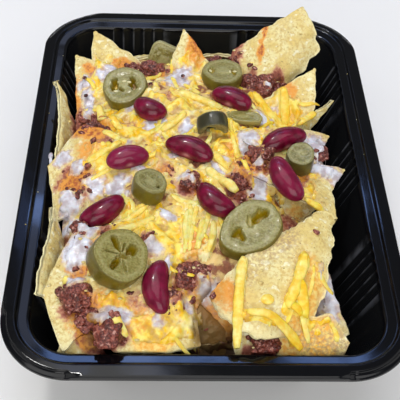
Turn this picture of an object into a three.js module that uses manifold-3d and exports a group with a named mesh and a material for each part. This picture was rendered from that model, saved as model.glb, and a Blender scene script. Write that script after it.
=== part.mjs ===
// Loaded nachos in a black plastic tray.
// Millimetres, +Z up. The origin is the middle of the tray's underside, X runs
// across the tray and Y along it.
import * as THREE from 'three';
import { mergeVertices } from 'three/addons/utils/BufferGeometryUtils.js';
import Module from 'manifold-3d';

const wasm = await Module();
wasm.setup();

// ---------------------------------------------------------------- tray sizes
const TRAY_WIDTH = 137;
const TRAY_LENGTH = 187;
const TRAY_HEIGHT = 50;
const TRAY_CORNER = 24; // outer corner radius
const FOOT_CORNER = 6; // smallest corner radius, at the foot
const SHEET = 0.8; // thickness of the plastic
const FLANGE = 5; // flat outer band of the rim
const FLANGE_STEP = 1; // the inner ledge lies this much lower
const RIM = 9.5; // whole rim, from the edge to the top of the inner wall
const LIP_DROP = 2.5; // the rim's edge is turned down this far
const CORNER_LIP = 1.9; // at the corners a lower lip shows outside the flange
const WALL_DRAFT = 14; // the wall leans in this far on its way down
const WALL_FOOT = 8; // height at which the wall turns into the floor
const FLOOR_INSET = 30; // from the outer edge to the flat floor
const FLUTE_PITCH = 4.6;
const FLUTE_DEPTH = 0.9;
const FLUTES = 5; // flutes in a group
const CORNER_STEPS = 6;
// middles of the flute groups along the two long and the two short sides
const LONG_FLUTES = [-48, 3, 50];
const SHORT_FLUTES = [-28, 28];

// ---------------------------------------------------------------- heap sizes
const GAP = 0.3; // clearance between the heap, the tray and the toppings
const HEAP_TOP = 60; // middle of the heap
const HEAP_CENTRE_X = -6;
const HEAP_CENTRE_Y = -3;
const HEAP_HALF_X = 47;
const HEAP_HALF_Y = 75;
const HEAP_FALL_X = 15; // the heap is this much lower at its long sides
const HEAP_FALL_Y = 16; // and this much lower at its short sides
const HEAP_BUMPS = [
  { x: 23, y: -55, rise: 14, spread: 15 },
  { x: 4, y: -78, rise: -9, spread: 10 },
  { x: -28, y: 40, rise: 2, spread: 16 },
  { x: 28, y: 48, rise: 3, spread: 16 },
];
const HEAP_CORNER = 0.2; // how far the corners of its outline are rounded, as a share
const HEAP_COLUMNS = 14;
const HEAP_ROWS = 24;
const CHIP_THICKNESS = 1.7;
const CHIP_STEPS = 5;
const CHIP_BOW = 0.85; // under 1, the two long edges bulge a little
const SHRED_WIDTH = 3.4;
const SHRED_THICKNESS = 2.4;
const SHRED_STEP = 3.6; // length of one straight piece of a shred
const SHRED_RISE = 0.7; // how far a shred stands out of the surface, as a share
const MINCE_FLATNESS = 0.65;
const MINCE_KNOBS = 0.22; // how deep its knobs and dents are, as a share of its radius
const MELT_SIDES = 9;
const MELT_SHOULDER = 0.6; // a puddle is nearly full height out to this share
const STEP = 3; // cheese follows the surface over a step no higher than this
const BEAN_WIDTH = 9.4;
const BEAN_HEIGHT = 8.2;
const BEAN_SEGMENTS = 9;
const BEAN_LEVEL = 0.4; // a bent bean's middle is set back, so that it stays centred
const HOLE_SIDES = 5;
const HOLE_REACH = 0.42; // seed holes lie this far from a slice's middle, as a share
const HOLE_SIZE = 0.2; // and are this large, as a share of its radius
const SLICE_SIDES = 14;
const SINK = 1.2; // how deep a topping lies in what it rests on
const WELD = 0.02; // edges shorter than this are closed up after a cut
const SMOOTHING = 0.22; // facets of the joined heap flatter than this are merged

const RAD = Math.PI / 180;

// Tortilla chips: the place of the tip, the direction in which it points
// (heading in plan, tilt above the level, lean about its own length), the
// length from tip to back, the greatest width, and the curl at the middle. A
// triangle is widest at its back; a broken chip is widest at its shoulder, a
// share of the length from the tip, its back keeps a share of the width, its
// skew slants it, its back edge bulges by a share of the length, and a bow
// smaller than the usual one makes its long edges fuller.
const CHIPS = [
  { tip: [-46, 64, 61], heading: 120, tilt: 26, lean: -4, length: 46, width: 46, curl: 3 },
  { tip: [-53, 53, 56], heading: 124, tilt: 10, lean: -8, length: 42, width: 44, curl: 3 },
  { tip: [-61, 34, 59], heading: 104, tilt: 26, lean: 62, length: 44, width: 26, curl: 3 },
  {
    tip: [-59, -6, 51], heading: 166, tilt: -8, lean: -14, length: 44, width: 42, curl: 2,
    shoulder: 0.2, back: 0.5,
  },
  { tip: [-56, -26, 52], heading: 96, tilt: 12, lean: 64, length: 36, width: 20, curl: 2 },
  {
    tip: [-55, -64, 51], heading: 200, tilt: -5, lean: -8, length: 44, width: 42, curl: 3,
    shoulder: 0.2, back: 0.5, skew: 0.4,
  },
  { tip: [-52, -69, 48], heading: 120, tilt: 34, lean: 58, length: 26, width: 20, curl: 2 },
  { tip: [-43, -71, 51], heading: 92, tilt: 34, lean: 4, length: 14, width: 18, curl: 1 },
  {
    tip: [-3, -79, 44], heading: 330, tilt: -14, lean: 2, length: 42, width: 38, curl: 3,
    shoulder: 0.4, back: 0.7,
  },
  { tip: [-3, -64, 48], heading: 108, tilt: 52, lean: -10, length: 24, width: 28, curl: 2 },
  {
    tip: [41, -35.3, 60.5], heading: 56, tilt: 8, lean: 18, length: 43, width: 36, curl: 4.4,
    skew: -0.27, bulge: 0.26, bow: 0.62,
  },
  { tip: [39, -43, 54], heading: 92, tilt: 26, lean: -22, length: 32, width: 16, curl: 2 },
  {
    tip: [46, -78, 46.5], heading: 2, tilt: 6, lean: 40, length: 36, width: 20, curl: 2,
    shoulder: 0.14, back: 0.8,
  },
  { tip: [46, -33, 54], heading: 305, tilt: -7, lean: -12, length: 38, width: 40, curl: 3 },
  { tip: [48.5, 10.5, 53], heading: 34, tilt: -8, lean: 14, length: 34, width: 34, curl: 3 },
  { tip: [52.5, -7, 53], heading: 30, tilt: -2, lean: 26, length: 30, width: 26, curl: 3 },
  {
    tip: [42, 70, 71.5], heading: 52, tilt: 33, lean: 18, length: 40, width: 31, curl: 5,
    shoulder: 0.52, back: 0.8, skew: -0.6,
  },
  { tip: [46, 42, 61], heading: 54, tilt: 28, lean: 8, length: 38, width: 34, curl: 3 },
  { tip: [53, 32, 54], heading: 44, tilt: 8, lean: 64, length: 34, width: 11, curl: 2 },
  { tip: [-8, 61, 66], heading: 106, tilt: 46, lean: -18, length: 32, width: 32, curl: 3 },
  { tip: [-26, 78, 35], heading: 112, tilt: -42, lean: 6, length: 18, width: 30, curl: 1 },
  { tip: [12, 79, 34], heading: 74, tilt: -44, lean: -8, length: 18, width: 30, curl: 1 },
];

// Kidney beans: middle in plan, heading, tilt, length, and how far they bend.
const BEANS = [
  { at: [-21.5, 16.6], heading: 330, tilt: 0, length: 14, bend: 1 },
  { at: [-29, -10], heading: 16, tilt: 0, length: 16, bend: -0.8 },
  { at: [-37, -31], heading: 33, tilt: 8, length: 18, bend: 1 },
  { at: [-6, -6], heading: 335, tilt: 0, length: 19, bend: -1.4 },
  { at: [11, 24], heading: 333, tilt: 0, length: 17, bend: -0.8 },
  { at: [29, -1], heading: 22, tilt: 4, length: 18, bend: -1 },
  { at: [28, -22], heading: 298, tilt: -14, length: 19, bend: 1 },
  { at: [2.6, -30.2], heading: 315, tilt: -6, length: 17, bend: 1.6 },
  { at: [-17, -63], heading: 272, tilt: -12, length: 19, bend: 2 },
];

// Jalapeno slices: middle of the face in plan, the two radii, the thickness,
// the direction in which the face looks and how far it tips that way, the turn
// of the slice about itself, its seed holes, and how far it is propped up.
// square is the power that makes a cut-off piece of pepper nearly rectangular.
const SLICES = [
  {
    at: [-32, 31], radii: [9.2, 8.8], thickness: 8, faces: 231, tip: 13, spin: 49,
    holes: 3, lift: -0.5,
  },
  {
    at: [8, 42], radii: [9.2, 8.2], thickness: 5, faces: 80, tip: 8, spin: 0,
    holes: 2, lift: 1,
  },
  {
    at: [3, 4], radii: [6.2, 5.8], thickness: 6, faces: 275, tip: 108, spin: 0,
    holes: 2, lift: 3.7,
  },
  {
    at: [15, 16], radii: [7.6, 2.8], thickness: 2.4, faces: 200, tip: 6, spin: 328,
    holes: 0, lift: 0.5,
  },
  {
    at: [-20, -24], radii: [5.8, 6.4], thickness: 6.5, faces: 20, tip: 14, spin: 0,
    holes: 0, lift: 0.5,
  },
  {
    at: [34, -12], radii: [5.2, 5], thickness: 7.5, faces: 250, tip: 8, spin: 0,
    holes: 0, lift: 1,
  },
  {
    at: [-28.8, -56.5], radii: [9.3, 9.6], thickness: 9, faces: 330, tip: 26, spin: 350,
    holes: 3, lift: 0.8,
  },
  {
    at: [14, -45], radii: [11.6, 9.2], thickness: 7.5, faces: 240, tip: 10, spin: 163,
    holes: 2, lift: -0.8,
  },
  {
    at: [-16.6, 59.5], radii: [7.6, 6.8], thickness: 5, faces: 262, tip: 58, spin: 342,
    holes: 0, lift: -1, square: 0.5,
  },
];

// Cheddar shreds: start in plan, heading, length, how far they curve in all,
// and how thick they are beside the usual shred.
const SHREDS = [
  { at: [-42, 25], heading: 280, length: 13, curve: 10, size: 1.2 },
  { at: [-44, -8], heading: 24, length: 14, curve: 12, size: 1.1 },
  { at: [-37, 16], heading: 300, length: 10, curve: 0, size: 1 },
  { at: [-10, 29], heading: 350, length: 20, curve: -46, size: 1.1 },
  { at: [20, 31], heading: 308, length: 22, curve: 6, size: 1.3 },
  { at: [32, 34], heading: 276, length: 16, curve: -8, size: 1.2 },
  { at: [37, 16], heading: 40, length: 11, curve: 10, size: 1 },
  { at: [10, 13], heading: 268, length: 32, curve: 24, size: 0.7 },
  { at: [0, -14], heading: 316, length: 15, curve: 0, size: 1.3 },
  { at: [-34, -40], heading: 32, length: 16, curve: 10, size: 0.9 },
  { at: [-33, -45], heading: 28, length: 17, curve: 8, size: 0.9 },
  { at: [-7, -32], heading: 262, length: 17, curve: 14, size: 0.8 },
  { at: [-1, -36], heading: 250, length: 14, curve: 20, size: 0.8 },
  { at: [2, -37], heading: 270, length: 14, curve: -20, size: 0.8 },
  { at: [11, -57], heading: 258, length: 24, curve: 14, size: 1.2 },
  { at: [31.5, -55.5], heading: 254, length: 18, curve: -12, size: 1.3 },
  { at: [29.5, -64], heading: 275, length: 10, curve: 8, size: 1.4 },
  { at: [11.5, -75.4], heading: 4, length: 20, curve: -50, size: 1.2 },
  { at: [35, -27], heading: 330, length: 12, curve: 0, size: 0.9 },
  { at: [-13, -27], heading: 340, length: 12, curve: 16, size: 0.9 },
  { at: [0, -5], heading: 320, length: 11, curve: -10, size: 0.9 },
  { at: [-17, 7], heading: 30, length: 12, curve: 18, size: 0.9 },
];

// Clumps of minced meat: middle in plan, radius, and the height of one that lies under a chip.
const MINCE = [
  [-22, 49, 5], [-29, 47, 4], [-45, 20, 5], [-38, 12, 4], [-44, -67, 6], [-31.5, -78, 6],
  [19, 42, 4], [25, 41, 5], [32, 41, 5], [20, -9, 5], [11, -19, 5], [-6, -20, 4],
  [-5, -57, 5], [18, -80, 5, 46.5], [42, -3, 4], [-22, -46, 4], [-14, -66, 4], [5, 56, 4],
];

// Melted cheese: middle in plan, radius and thickness.
const MELTS = [
  [-48, 30, 6, 2], [-40, 44, 6, 2], [-5, 43, 8, 2.4], [-19, 15, 7, 2], [-6, 8, 6, 2.4],
  [16, 2, 6, 2.4], [19, -22, 6, 2.4], [-38, -19, 7, 2], [-45, -48, 9, 2.4], [-46, -62, 4, 2.6],
  [-32, -72, 7, 2], [42, -1, 6, 2], [-1, -62, 4, 3], [-13, -48, 8, 2], [-24, 1, 9, 2],
  [-12, -36, 8, 2.4], [-20, -72, 9, 1.8], [0, 18, 8, 2], [40, -60, 6, 1.8], [30, 10, 6, 2],
];

// ------------------------------------------------------------------- helpers
function closedGeometry(points, faces) {
  const geometry = new THREE.BufferGeometry();
  geometry.setAttribute('position', new THREE.Float32BufferAttribute(points.flat(), 3));
  geometry.setIndex(faces.flat());
  return geometry;
}

function toManifold(geometry) {
  const bare = geometry.clone();
  bare.deleteAttribute('normal');
  bare.deleteAttribute('uv');
  const merged = mergeVertices(bare, 1e-4);
  return new wasm.Manifold(new wasm.Mesh({
    numProp: 3,
    vertProperties: new Float32Array(merged.attributes.position.array),
    triVerts: new Uint32Array(merged.index.array),
  }));
}

// The largest body of a solid as a geometry: loose scraps are dropped, and
// hollows that fusing has sealed are filled.
function toGeometry(solid) {
  const mesh = solid.asOriginal().simplify(WELD).getMesh();
  const corners = mesh.triVerts;
  const parent = Array.from({ length: mesh.vertProperties.length / 3 }, (_, k) => k);
  const rootOf = (k) => {
    let root = k;
    while (parent[root] !== root) root = parent[root];
    parent[k] = root;
    return root;
  };
  for (let k = 0; k < corners.length; k += 3) {
    parent[rootOf(corners[k])] = rootOf(corners[k + 1]);
    parent[rootOf(corners[k + 1])] = rootOf(corners[k + 2]);
  }
  const bodies = new Map();
  for (let k = 0; k < corners.length; k += 3) {
    const root = rootOf(corners[k]);
    if (!bodies.has(root)) bodies.set(root, []);
    bodies.get(root).push(corners[k], corners[k + 1], corners[k + 2]);
  }
  const faces = [...bodies.values()].reduce((best, body) => (body.length > best.length ? body : best));
  const used = [...new Set(faces)];
  const place = new Map(used.map((vertex, k) => [vertex, k]));
  const points = used.map((vertex) => Array.from(mesh.vertProperties.slice(3 * vertex, 3 * vertex + 3)));
  return closedGeometry(points, faces.map((vertex) => place.get(vertex)));
}

// Mulberry32, so that every build is the same.
function seededRandom(seed) {
  let state = seed;
  return () => {
    state = (state + 0x6d2b79f5) | 0;
    let t = Math.imul(state ^ (state >>> 15), 1 | state);
    t = (t + Math.imul(t ^ (t >>> 7), 61 | t)) ^ t;
    return ((t ^ (t >>> 14)) >>> 0) / 4294967296;
  };
}

// Turns a piece modelled along +X: lean about its length, then tilt, then heading.
function turned(geometry, place, heading, tilt = 0, lean = 0) {
  geometry.rotateX(lean * RAD);
  geometry.rotateY(-tilt * RAD);
  geometry.rotateZ(heading * RAD);
  geometry.translate(...place);
  return geometry;
}

// ---------------------------------------------------------------------- tray
// A stop is a place on the tray's outline: an angle on a corner arc, or a
// distance along a side. Stops go anticlockwise from the +X side.
function outlineStops() {
  const stops = [];
  const sides = [
    { nx: 1, ny: 0, half: TRAY_LENGTH / 2, flutes: LONG_FLUTES },
    { nx: 0, ny: 1, half: TRAY_WIDTH / 2, flutes: SHORT_FLUTES },
    { nx: -1, ny: 0, half: TRAY_LENGTH / 2, flutes: LONG_FLUTES },
    { nx: 0, ny: -1, half: TRAY_WIDTH / 2, flutes: SHORT_FLUTES },
  ];
  sides.forEach((side, quarter) => {
    const straight = side.half - TRAY_CORNER;
    const along = [-straight + 1, straight - 1].map((s) => ({ ...side, s, fine: false, crest: 0 }));
    for (const middle of side.flutes) {
      // along the side means anticlockwise, so the middle's sign turns with the side
      const centre = middle * (side.nx - side.ny);
      for (let k = -FLUTES; k <= FLUTES; k += 1) {
        const s = centre + (k * FLUTE_PITCH) / 2;
        along.push({ ...side, s, fine: Math.abs(k) < FLUTES, crest: (k + FLUTES) % 2 });
      }
    }
    along.sort((a, b) => a.s - b.s);
    stops.push(...along);
    for (let k = 0; k <= CORNER_STEPS; k += 1) {
      stops.push({ angle: (quarter + k / CORNER_STEPS) * 90 * RAD, quarter, crest: 0, fine: false });
    }
  });
  return stops;
}

const STOPS = outlineStops();

function stopPoint(stop, inset) {
  const radius = Math.max(TRAY_CORNER - inset, FOOT_CORNER);
  const reachX = TRAY_WIDTH / 2 - inset - radius;
  const reachY = TRAY_LENGTH / 2 - inset - radius;
  if (stop.angle === undefined) {
    const reach = stop.nx ? reachY : reachX;
    const s = THREE.MathUtils.clamp(stop.s, -reach, reach);
    const x = stop.nx * (TRAY_WIDTH / 2 - inset) - stop.ny * s;
    const y = stop.ny * (TRAY_LENGTH / 2 - inset) + stop.nx * s;
    return [x, y];
  }
  const signX = [1, -1, -1, 1][stop.quarter];
  const signY = [1, 1, -1, -1][stop.quarter];
  const x = signX * reachX + radius * Math.cos(stop.angle);
  const y = signY * reachY + radius * Math.sin(stop.angle);
  return [x, y];
}

// One ring of the tray's profile. A fluted ring keeps every stop, a plain one
// leaves out the crests and valleys of the flutes. At the corners the ring may
// take another inset and height, which makes the lower lip there.
function trayRing({ inset, z, fluted = false, cornerInset = inset, cornerZ = z }) {
  const points = [];
  STOPS.forEach((stop, index) => {
    if (stop.fine && !fluted) return;
    const corner = stop.angle !== undefined;
    const depth = fluted ? stop.crest * FLUTE_DEPTH : 0;
    const [x, y] = stopPoint(stop, (corner ? cornerInset : inset) - depth);
    points.push({ index, point: [x, y, corner ? cornerZ : z] });
  });
  return points;
}

// Sews two rings whose stops are the same, or of which one leaves some out.
function sewRings(lower, upper, firstLower, firstUpper) {
  const faces = [];
  let i = 0;
  let j = 0;
  const stopAt = (ring, k) => (k < ring.length ? ring[k].index : STOPS.length + ring[k - ring.length].index);
  while (i < lower.length || j < upper.length) {
    const nextLower = i < lower.length ? stopAt(lower, i + 1) : Infinity;
    const nextUpper = j < upper.length ? stopAt(upper, j + 1) : Infinity;
    const a = firstLower + (i % lower.length);
    const b = firstUpper + (j % upper.length);
    if (nextLower <= nextUpper) {
      faces.push([a, firstLower + ((i + 1) % lower.length), b]);
      i += 1;
    } else {
      faces.push([a, firstUpper + ((j + 1) % upper.length), b]);
      j += 1;
    }
  }
  return faces;
}

// A closed shell of revolution-like rings with a flat cap at each end.
function ringShell(rings) {
  const points = [];
  const faces = [];
  const starts = [];
  for (const ring of rings) {
    starts.push(points.length);
    points.push(...ring.map((stop) => stop.point));
  }
  for (let k = 0; k + 1 < rings.length; k += 1) {
    faces.push(...sewRings(rings[k], rings[k + 1], starts[k], starts[k + 1]));
  }
  const capRing = (ring, start, flip) => {
    const centre = points.length;
    points.push([0, 0, ring[0].point[2]]);
    for (let k = 0; k < ring.length; k += 1) {
      const a = start + k;
      const b = start + ((k + 1) % ring.length);
      faces.push(flip ? [centre, b, a] : [centre, a, b]);
    }
  };
  capRing(rings[0], starts[0], true);
  capRing(rings.at(-1), starts.at(-1), false);
  return closedGeometry(points, faces);
}

// Inset and height of the wall's inner face: top, bottom, and the round into the floor.
const LEDGE_Z = TRAY_HEIGHT - FLANGE_STEP;
const WALL_TOP = { inset: RIM + 0.8, z: LEDGE_Z - 3 };
const WALL_BOTTOM = { inset: RIM + WALL_DRAFT, z: WALL_FOOT };
const FOOT_ROUND = { inset: (RIM + WALL_DRAFT + FLOOR_INSET) / 2, z: 2.6 };
const FLOOR = { inset: FLOOR_INSET, z: SHEET };

// The same place on the other face of the sheet.
function underSheet({ inset, z }, drop = 0) {
  return { inset: inset - SHEET, z: z - drop };
}

function trayGeometry() {
  const lipZ = TRAY_HEIGHT - LIP_DROP;
  const profile = [
    { inset: FLOOR_INSET - SHEET / 2, z: 0 },
    underSheet(FOOT_ROUND, SHEET),
    { ...underSheet(WALL_BOTTOM), fluted: true },
    { ...underSheet(WALL_TOP), fluted: true },
    { inset: RIM - 0.6, z: LEDGE_Z - 1.2 },
    { inset: FLANGE + 0.2, z: LEDGE_Z - SHEET },
    { inset: FLANGE - 0.4, z: TRAY_HEIGHT - SHEET },
    { inset: 0.9, z: TRAY_HEIGHT - SHEET, cornerZ: lipZ + 0.4 },
    { inset: 0.8, z: lipZ },
    { inset: 0, z: lipZ },
    { inset: 0, z: TRAY_HEIGHT - 0.6, cornerZ: TRAY_HEIGHT - 1.3 },
    { inset: 0.5, z: TRAY_HEIGHT, cornerInset: CORNER_LIP, cornerZ: TRAY_HEIGHT - 1 },
    { inset: 1.2, z: TRAY_HEIGHT, cornerInset: CORNER_LIP + 0.4 },
    { inset: FLANGE - 0.2, z: TRAY_HEIGHT },
    { inset: FLANGE + 0.4, z: LEDGE_Z },
    { inset: RIM - 0.6, z: LEDGE_Z - 0.2 },
    { inset: RIM, z: LEDGE_Z - 0.7 },
    { ...WALL_TOP, fluted: true },
    { ...WALL_BOTTOM, fluted: true },
    FOOT_ROUND,
    FLOOR,
  ];
  return ringShell(profile.map(trayRing));
}

// The room inside the tray, less the gap, and open above the rim out to the
// tray's own outline. The heap is kept to it.
function trayRoomGeometry() {
  const inward = ({ inset, z }, rise = 0) => ({ inset: inset + GAP, z: z + rise });
  const profile = [
    inward(FLOOR, GAP),
    inward(FOOT_ROUND, GAP),
    inward(WALL_BOTTOM),
    inward(WALL_TOP),
    { inset: RIM + GAP, z: TRAY_HEIGHT + GAP },
    { inset: 1, z: TRAY_HEIGHT + 1.5 },
    { inset: 1, z: 2 * TRAY_HEIGHT },
  ];
  return ringShell(profile.map(trayRing));
}

// ---------------------------------------------------------------------- heap
// Height of the bare heap's surface.
function heapHeight(x, y) {
  const across = Math.abs((x - HEAP_CENTRE_X) / HEAP_HALF_X);
  const along = Math.abs((y - HEAP_CENTRE_Y) / HEAP_HALF_Y);
  const fall = HEAP_FALL_X * across ** 2.6 + HEAP_FALL_Y * along ** 2.6;
  const lumps = Math.sin(x / 6 + 1.3) * Math.cos(y / 8 - 0.4) + 0.6 * Math.sin((x + y) / 5);
  const bumps = HEAP_BUMPS.map((bump) => (
    bump.rise * Math.exp(-((x - bump.x) ** 2 + (y - bump.y) ** 2) / bump.spread ** 2)
  ));
  return HEAP_TOP - fall + 1.1 * lumps + bumps.reduce((sum, rise) => sum + rise);
}

// The core: a grid on a rectangle with rounded corners, raised to the heap's
// surface, over sides that follow the tray's walls down to the floor.
function coreGeometry() {
  const spot = (i, j, shrinkX = 0, shrinkY = 0) => {
    const a = (2 * i) / HEAP_COLUMNS - 1;
    const b = (2 * j) / HEAP_ROWS - 1;
    const x = (HEAP_HALF_X - shrinkX) * a * Math.sqrt(1 - HEAP_CORNER * b * b);
    const y = (HEAP_HALF_Y - shrinkY) * b * Math.sqrt(1 - HEAP_CORNER * a * a);
    return [HEAP_CENTRE_X + x, HEAP_CENTRE_Y + y];
  };
  const points = [];
  const faces = [];
  const row = HEAP_ROWS + 1;
  for (let i = 0; i <= HEAP_COLUMNS; i += 1) {
    for (let j = 0; j <= HEAP_ROWS; j += 1) {
      const [x, y] = spot(i, j);
      points.push([x, y, heapHeight(x, y)]);
    }
  }
  for (let i = 0; i < HEAP_COLUMNS; i += 1) {
    for (let j = 0; j < HEAP_ROWS; j += 1) {
      const a = i * row + j;
      faces.push([a, a + row, a + row + 1], [a, a + row + 1, a + 1]);
    }
  }
  const border = [];
  for (let i = 0; i < HEAP_COLUMNS; i += 1) border.push([i, 0]);
  for (let j = 0; j < HEAP_ROWS; j += 1) border.push([HEAP_COLUMNS, j]);
  for (let i = HEAP_COLUMNS; i > 0; i -= 1) border.push([i, HEAP_ROWS]);
  for (let j = HEAP_ROWS; j > 0; j -= 1) border.push([0, j]);
  const sides = [
    { shrinkX: 2, shrinkY: 2, z: TRAY_HEIGHT * 0.6 },
    { shrinkX: 9, shrinkY: 9, z: WALL_FOOT },
    { shrinkX: 12, shrinkY: 13, z: SHEET + GAP },
  ];
  let above = border.map(([i, j]) => i * row + j);
  for (const { shrinkX, shrinkY, z } of sides) {
    const below = border.map(([i, j]) => points.push([...spot(i, j, shrinkX, shrinkY), z]) - 1);
    border.forEach((_, k) => {
      const next = (k + 1) % border.length;
      faces.push([above[k], below[k], below[next]], [above[k], below[next], above[next]]);
    });
    above = below;
  }
  const bottom = points.push([HEAP_CENTRE_X, HEAP_CENTRE_Y, SHEET + GAP]) - 1;
  above.forEach((vertex, k) => faces.push([bottom, above[(k + 1) % above.length], vertex]));
  return closedGeometry(points, faces);
}

// A chip is a curled triangle with a slightly bowed outline. Its tip is at the
// local origin and its base lies towards -X.
function chipGeometry({
  tip, heading, tilt, lean, length, width, curl, shoulder = 1, back = 1, skew = 0, bulge = 0.06,
  bow = CHIP_BOW,
}) {
  const points = [];
  const faces = [];
  const indexOf = new Map();
  const layer = (side) => {
    for (let i = 0; i <= CHIP_STEPS; i += 1) {
      for (let j = 0; j <= i; j += 1) {
        const down = i / CHIP_STEPS;
        const across = i ? j / i - 0.5 : 0;
        const taper = 1 - ((1 - back) * (down - shoulder)) / (1 - shoulder);
        const breadth = down <= shoulder ? (down / shoulder) ** bow : taper;
        const y = width * breadth * across;
        const x = skew * y - length * (down + bulge * down ** 3 * (1 - (2 * across) ** 2));
        const arch = 1 - 0.6 * (2 * down - 1) ** 2 - (2 * across * breadth) ** 2;
        indexOf.set(`${side},${i},${j}`, points.length);
        points.push([x, y, curl * arch + (side * CHIP_THICKNESS) / 2]);
      }
    }
  };
  layer(1);
  layer(-1);
  const at = (side, i, j) => indexOf.get(`${side},${i},${j}`);
  for (let i = 0; i < CHIP_STEPS; i += 1) {
    for (let j = 0; j <= i; j += 1) {
      faces.push([at(1, i, j), at(1, i + 1, j + 1), at(1, i + 1, j)]);
      faces.push([at(-1, i, j), at(-1, i + 1, j), at(-1, i + 1, j + 1)]);
      if (j < i) {
        faces.push([at(1, i, j), at(1, i, j + 1), at(1, i + 1, j + 1)]);
        faces.push([at(-1, i, j), at(-1, i + 1, j + 1), at(-1, i, j + 1)]);
      }
    }
  }
  const edge = [];
  for (let i = 0; i < CHIP_STEPS; i += 1) edge.push([i, 0]);
  for (let j = 0; j < CHIP_STEPS; j += 1) edge.push([CHIP_STEPS, j]);
  for (let i = CHIP_STEPS; i > 0; i -= 1) edge.push([i, i]);
  edge.forEach(([i, j], k) => {
    const [m, n] = edge[(k + 1) % edge.length];
    faces.push([at(1, i, j), at(1, m, n), at(-1, m, n)]);
    faces.push([at(1, i, j), at(-1, m, n), at(-1, i, j)]);
  });
  return turned(closedGeometry(points, faces), tip, heading, tilt, lean);
}

// The height of a geometry's upper surface at a place in plan.
function surfaceOf(geometry) {
  const position = geometry.attributes.position;
  const cornerAt = (k) => new THREE.Vector3().fromBufferAttribute(position, k);
  const corners = Array.from(geometry.index.array, cornerAt);
  return (x, y) => {
    let top = -Infinity;
    for (let k = 0; k < corners.length; k += 3) {
      const [a, b, c] = corners.slice(k, k + 3);
      const area = (b.y - c.y) * (a.x - c.x) + (c.x - b.x) * (a.y - c.y);
      const shareA = ((b.y - c.y) * (x - c.x) + (c.x - b.x) * (y - c.y)) / area;
      const shareB = ((c.y - a.y) * (x - c.x) + (a.x - c.x) * (y - c.y)) / area;
      const shareC = 1 - shareA - shareB;
      if (shareA >= 0 && shareB >= 0 && shareC >= 0) {
        top = Math.max(top, shareA * a.z + shareB * b.z + shareC * c.z);
      }
    }
    return top;
  };
}

// The surface near a known level: over an edge it stays within one step of it.
function follow(surface, x, y, level) {
  return THREE.MathUtils.clamp(surface(x, y), level - STEP, level + STEP);
}

// A shred of cheese is a bar of four sides that follows the surface.
function shredGeometry({ at: [startX, startY], heading, length, curve, size }, surface) {
  const steps = Math.ceil(length / SHRED_STEP);
  const points = [];
  const faces = [];
  const halfWidth = (size * SHRED_WIDTH) / 2;
  const halfHeight = (size * SHRED_THICKNESS) / 2;
  let x = startX;
  let y = startY;
  let ground = surface(x, y);
  for (let k = 0; k <= steps; k += 1) {
    const angle = (heading + curve * (k / steps)) * RAD;
    ground = follow(surface, x, y, ground);
    const z = ground + SHRED_RISE * halfHeight;
    const sideX = -Math.sin(angle) * halfWidth;
    const sideY = Math.cos(angle) * halfWidth;
    points.push([x - sideX, y - sideY, z - halfHeight], [x + sideX, y + sideY, z - halfHeight]);
    points.push([x + sideX, y + sideY, z + halfHeight], [x - sideX, y - sideY, z + halfHeight]);
    x += (Math.cos(angle) * length) / steps;
    y += (Math.sin(angle) * length) / steps;
  }
  for (let k = 0; k < steps; k += 1) {
    for (let side = 0; side < 4; side += 1) {
      const a = 4 * k + side;
      const b = 4 * k + ((side + 1) % 4);
      faces.push([a, b + 4, b], [a, a + 4, b + 4]);
    }
  }
  const last = 4 * steps;
  faces.push([0, 1, 2], [0, 2, 3], [last, last + 2, last + 1], [last, last + 3, last + 2]);
  return closedGeometry(points, faces.map((face) => face.reverse()));
}

// A clump of mince: a ball whose corners are pushed in and out.
function minceGeometry([x, y, radius, level], surface) {
  const ball = new THREE.IcosahedronGeometry(radius, 1);
  const position = ball.attributes.position;
  const corner = new THREE.Vector3();
  for (let k = 0; k < position.count; k += 1) {
    corner.fromBufferAttribute(position, k);
    const knob = Math.sin(corner.x * 2.3 + x) * Math.cos(corner.y * 1.9 + y) * Math.cos(corner.z * 2.1);
    corner.multiplyScalar(1 + MINCE_KNOBS * knob);
    position.setXYZ(k, corner.x, corner.y, MINCE_FLATNESS * corner.z);
  }
  return ball.translate(x, y, (level ?? surface(x, y)) + radius / 5);
}

// A puddle of melted cheese: a shallow dome with an uneven outline that follows
// the surface and reaches a little way into it.
function meltGeometry([x, y, radius, thickness], surface) {
  const random = seededRandom(Math.round(1000 + 7 * x + 13 * y));
  const level = surface(x, y);
  const points = [[x, y, level + thickness]];
  const faces = [];
  const reaches = Array.from({ length: MELT_SIDES }, () => radius * (0.8 + 0.5 * random()));
  for (const [share, height] of [[MELT_SHOULDER, 0.8 * thickness], [1, -0.5]]) {
    reaches.forEach((reach, k) => {
      const angle = (k / MELT_SIDES) * 2 * Math.PI;
      const px = x + share * reach * Math.cos(angle);
      const py = y + share * reach * Math.sin(angle);
      points.push([px, py, follow(surface, px, py, level) + height]);
    });
  }
  const bottom = points.push([x, y, level - STEP - thickness]) - 1;
  for (let k = 0; k < MELT_SIDES; k += 1) {
    const next = (k + 1) % MELT_SIDES;
    const inner = 1 + k;
    const outer = inner + MELT_SIDES;
    const nextInner = 1 + next;
    const nextOuter = nextInner + MELT_SIDES;
    faces.push([0, inner, nextInner], [inner, outer, nextOuter]);
    faces.push([inner, nextOuter, nextInner], [bottom, nextOuter, outer]);
  }
  return closedGeometry(points, faces);
}

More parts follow.
